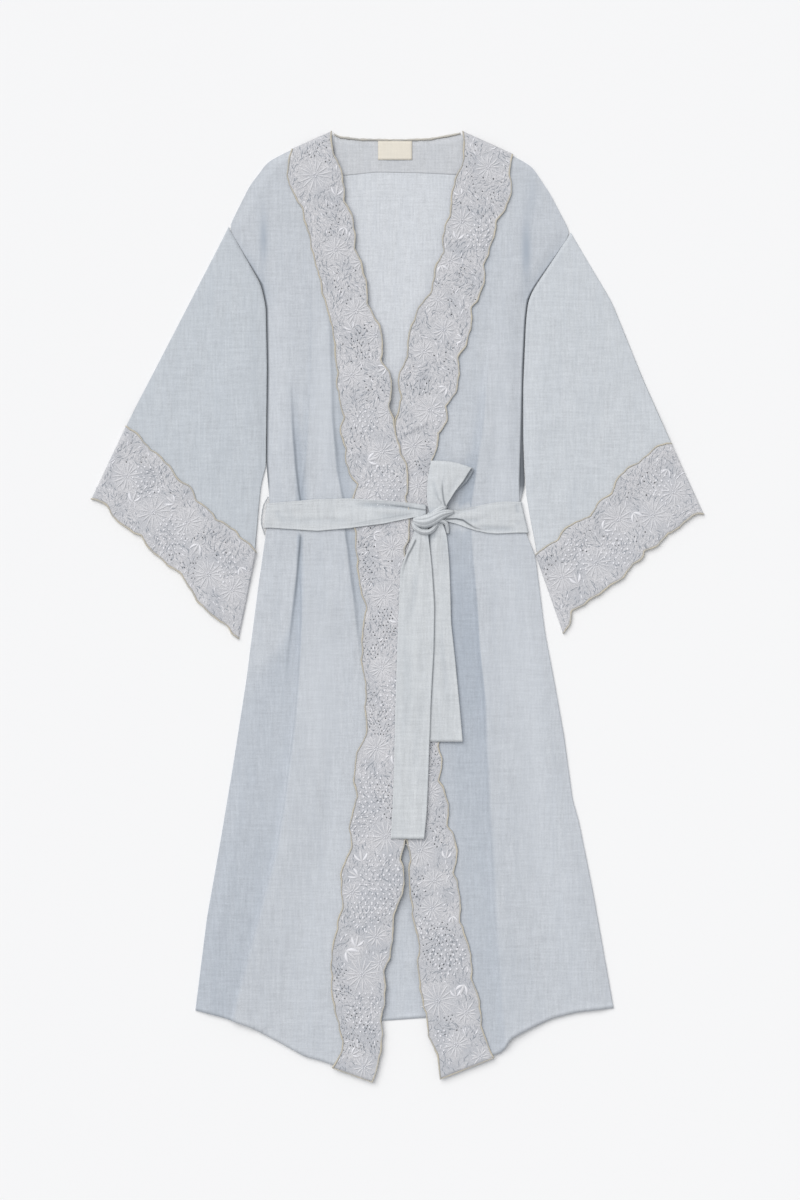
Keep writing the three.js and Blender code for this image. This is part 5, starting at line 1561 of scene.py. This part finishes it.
def wrap(path, widths, crown, ridges, seed, dark):
    """A gathered turn of the belt: an arched strip along a path, with fine pleats along it."""
    spine, k, t = soft_path(path, 44)
    width, high = np.interp(t, k, widths), np.interp(t, k, crown)
    ahead = np.gradient(spine, axis=0)
    side = np.stack([-ahead[:, 1], ahead[:, 0], 0 * t], -1)
    side /= np.linalg.norm(side, axis=1)[:, None]
    v = np.linspace(-1, 1, 35)
    arch = np.clip(1 - np.abs(v) ** 2.4, 0, 1) ** .8
    rows, groove = [], []
    for n in range(len(t)):
        wave = np.sin(v * 8.5 + seed + 2.4 * t[n] + .8 * math.sin(seed + 5 * t[n]))
        ridge = ridges * np.sign(wave) * np.abs(wave) ** .6 * np.sin(np.pi * (v + 1) / 2)
        z = spine[n, 2] + high[n] * arch - (1 - arch) * 2.2 + ridge
        xy = spine[n, :2] + side[n, :2] * (v * width[n] / 2)[:, None]
        rows.append(np.concatenate([xy, z[:, None]], 1))
        # painted shade: darker rims, more on the lower side, and darker dips between the pleats
        low_side = np.where(v < 0, 1, .6)
        rim, dips = smooth((np.abs(v) - .8) / .2), np.clip(-wave, 0, 1) ** 3
        groove.append(dark * low_side * rim + .55 * dark * dips)
    points = np.array(rows).reshape(-1, 3)
    faces = grid_faces(len(t), len(v))
    return points, facing_up(points, faces, len(faces) // 2), np.array(groove).ravel()


def knot_piece():
    x, y = KNOT_PLACE
    base = float(layer_bottom(KNOT_LAYER, np.array([x]), np.array([y]))[0]) - .6
    bundle = Bundle()
    for path, *form in KNOT_TURNS:
        bundle.add(*wrap([(x, y, base + rise) for x, y, rise in path], *form))
    made = bundle.make("belt_knot_wraps", belt_linen, "belt", "groove")
    solidify(made, KNOT_CLOTH)
    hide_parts("belt_knot")
    return made


knot = knot_piece()


def thread_loop_piece():
    path, _, t = soft_path([(x, y, THREAD_HEIGHT) for x, y in THREAD_LOOP], 60)
    bundle = Bundle()
    for phase in (0, math.pi):
        twist = t * THREAD_TWIST + phase
        off = np.stack([np.cos(twist) * THREAD_APART, 0 * t, np.sin(twist) * THREAD_APART], -1)
        bundle.add(*tube_along(path + off, THREAD_RADIUS))
    made = bundle.make("belt_thread_carrier", seam_thread, "belt")
    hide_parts("belt_thread_loop")


thread_loop_piece()


# Floor
FAR = 4  # metres from the middle of the floor to its sides
floor_mesh = bpy.data.meshes.new("floor")
floor_mesh.from_pydata([(-FAR, -FAR, 0), (FAR, -FAR, 0), (FAR, FAR, 0), (-FAR, FAR, 0)], [], [(0, 1, 2, 3)])
floor = bpy.data.objects.new("floor", floor_mesh)
bpy.context.scene.collection.objects.link(floor)
paper = Nodes("floor_paper")
paper.numbers(Base_Color=colour(241, 241, 242), Roughness=.95, Specular_IOR_Level=.1)
floor_mesh.materials.append(paper.material)


# Flat cuts of the cloth: only their plan grids are looked up
def flat_cut(thing, strip=0.0, pieces=()):
    """Looks up a piece's plan grid and, unless a strip's width is given, the way it runs; nothing is made
    from them.
    """
    grid = CUTS[thing.name]
    if strip:
        return
    run = grid[-1].mean(0) - grid[0].mean(0)
    run /= np.linalg.norm(run)


def stitching(thing, cord):
    return [cord, *(bpy.data.objects[thing.name + part] for part in ("_satin", "_stitches"))]


flat_cut(back)
flat_cut(right_front)
flat_cut(left_front)
flat_cut(right_sleeve)
flat_cut(left_sleeve)
flat_cut(right_lace, strip=LACE_CUT,
         pieces=stitching(right_lace, right_cord))
flat_cut(left_lace, strip=LACE_CUT,
         pieces=stitching(left_lace, left_cord))
flat_cut(right_cuff, pieces=stitching(right_cuff, right_cuff_cord))
flat_cut(left_cuff, pieces=stitching(left_cuff, left_cuff_cord))
flat_cut(facing, pieces=[binding])
flat_cut(label)
flat_cut(belt_back)
flat_cut(belt_right, strip=BELT_CUT["right"])
flat_cut(belt_left, strip=BELT_CUT["left"])
flat_cut(tail_short, strip=BELT_CUT["short"])
flat_cut(tail_long, strip=BELT_CUT["long"])
flat_cut(bow, strip=BELT_CUT["loop"])


# Camera and light
PIXEL = PHOTO_SCALE * MM
PHOTO_TALL, SENSOR = 1200, 36  # pixels, and millimetres of the camera's sensor
PHOTO_MIDDLE, HEIGHT = (.00315, .00819), 3.5  # metres
camera_data = bpy.data.cameras.new("camera")
camera = bpy.data.objects.new("camera", camera_data)
bpy.context.scene.collection.objects.link(camera)
camera.location = (*PHOTO_MIDDLE, HEIGHT)
camera_data.sensor_width = SENSOR
camera_data.sensor_fit = "AUTO"
camera_data.lens = SENSOR * HEIGHT / (PHOTO_TALL * PIXEL)
camera_data.clip_end = 50
bpy.context.scene.camera = camera


def light(name, kind, place, **values):
    """A lamp that shines at the middle of the part."""
    data = bpy.data.lights.new(name, kind)
    for key, value in values.items():
        setattr(data, key, value)
    lamp = bpy.data.objects.new(name, data)
    bpy.context.scene.collection.objects.link(lamp)
    lamp.location = place
    lamp.rotation_euler = (-Vector(place)).to_track_quat("-Z", "Y").to_euler()


light("key", "SUN", (-1.2, 1.6, 2.4), energy=2.1, angle=math.radians(50), color=(1, .99, .975))
light("top", "AREA", (.2, -.2, 4.4), energy=12, shape="RECTANGLE", size=2.4, size_y=2.4)
world = bpy.data.worlds.new("studio")
world.use_nodes = True
background = world.node_tree.nodes["Background"]
background.inputs["Color"].default_value = (.97, .985, 1, 1)
background.inputs["Strength"].default_value = .5
bpy.context.scene.world = world
bpy.context.scene.view_settings.view_transform = "Standard"

bpy.context.view_layer.update()
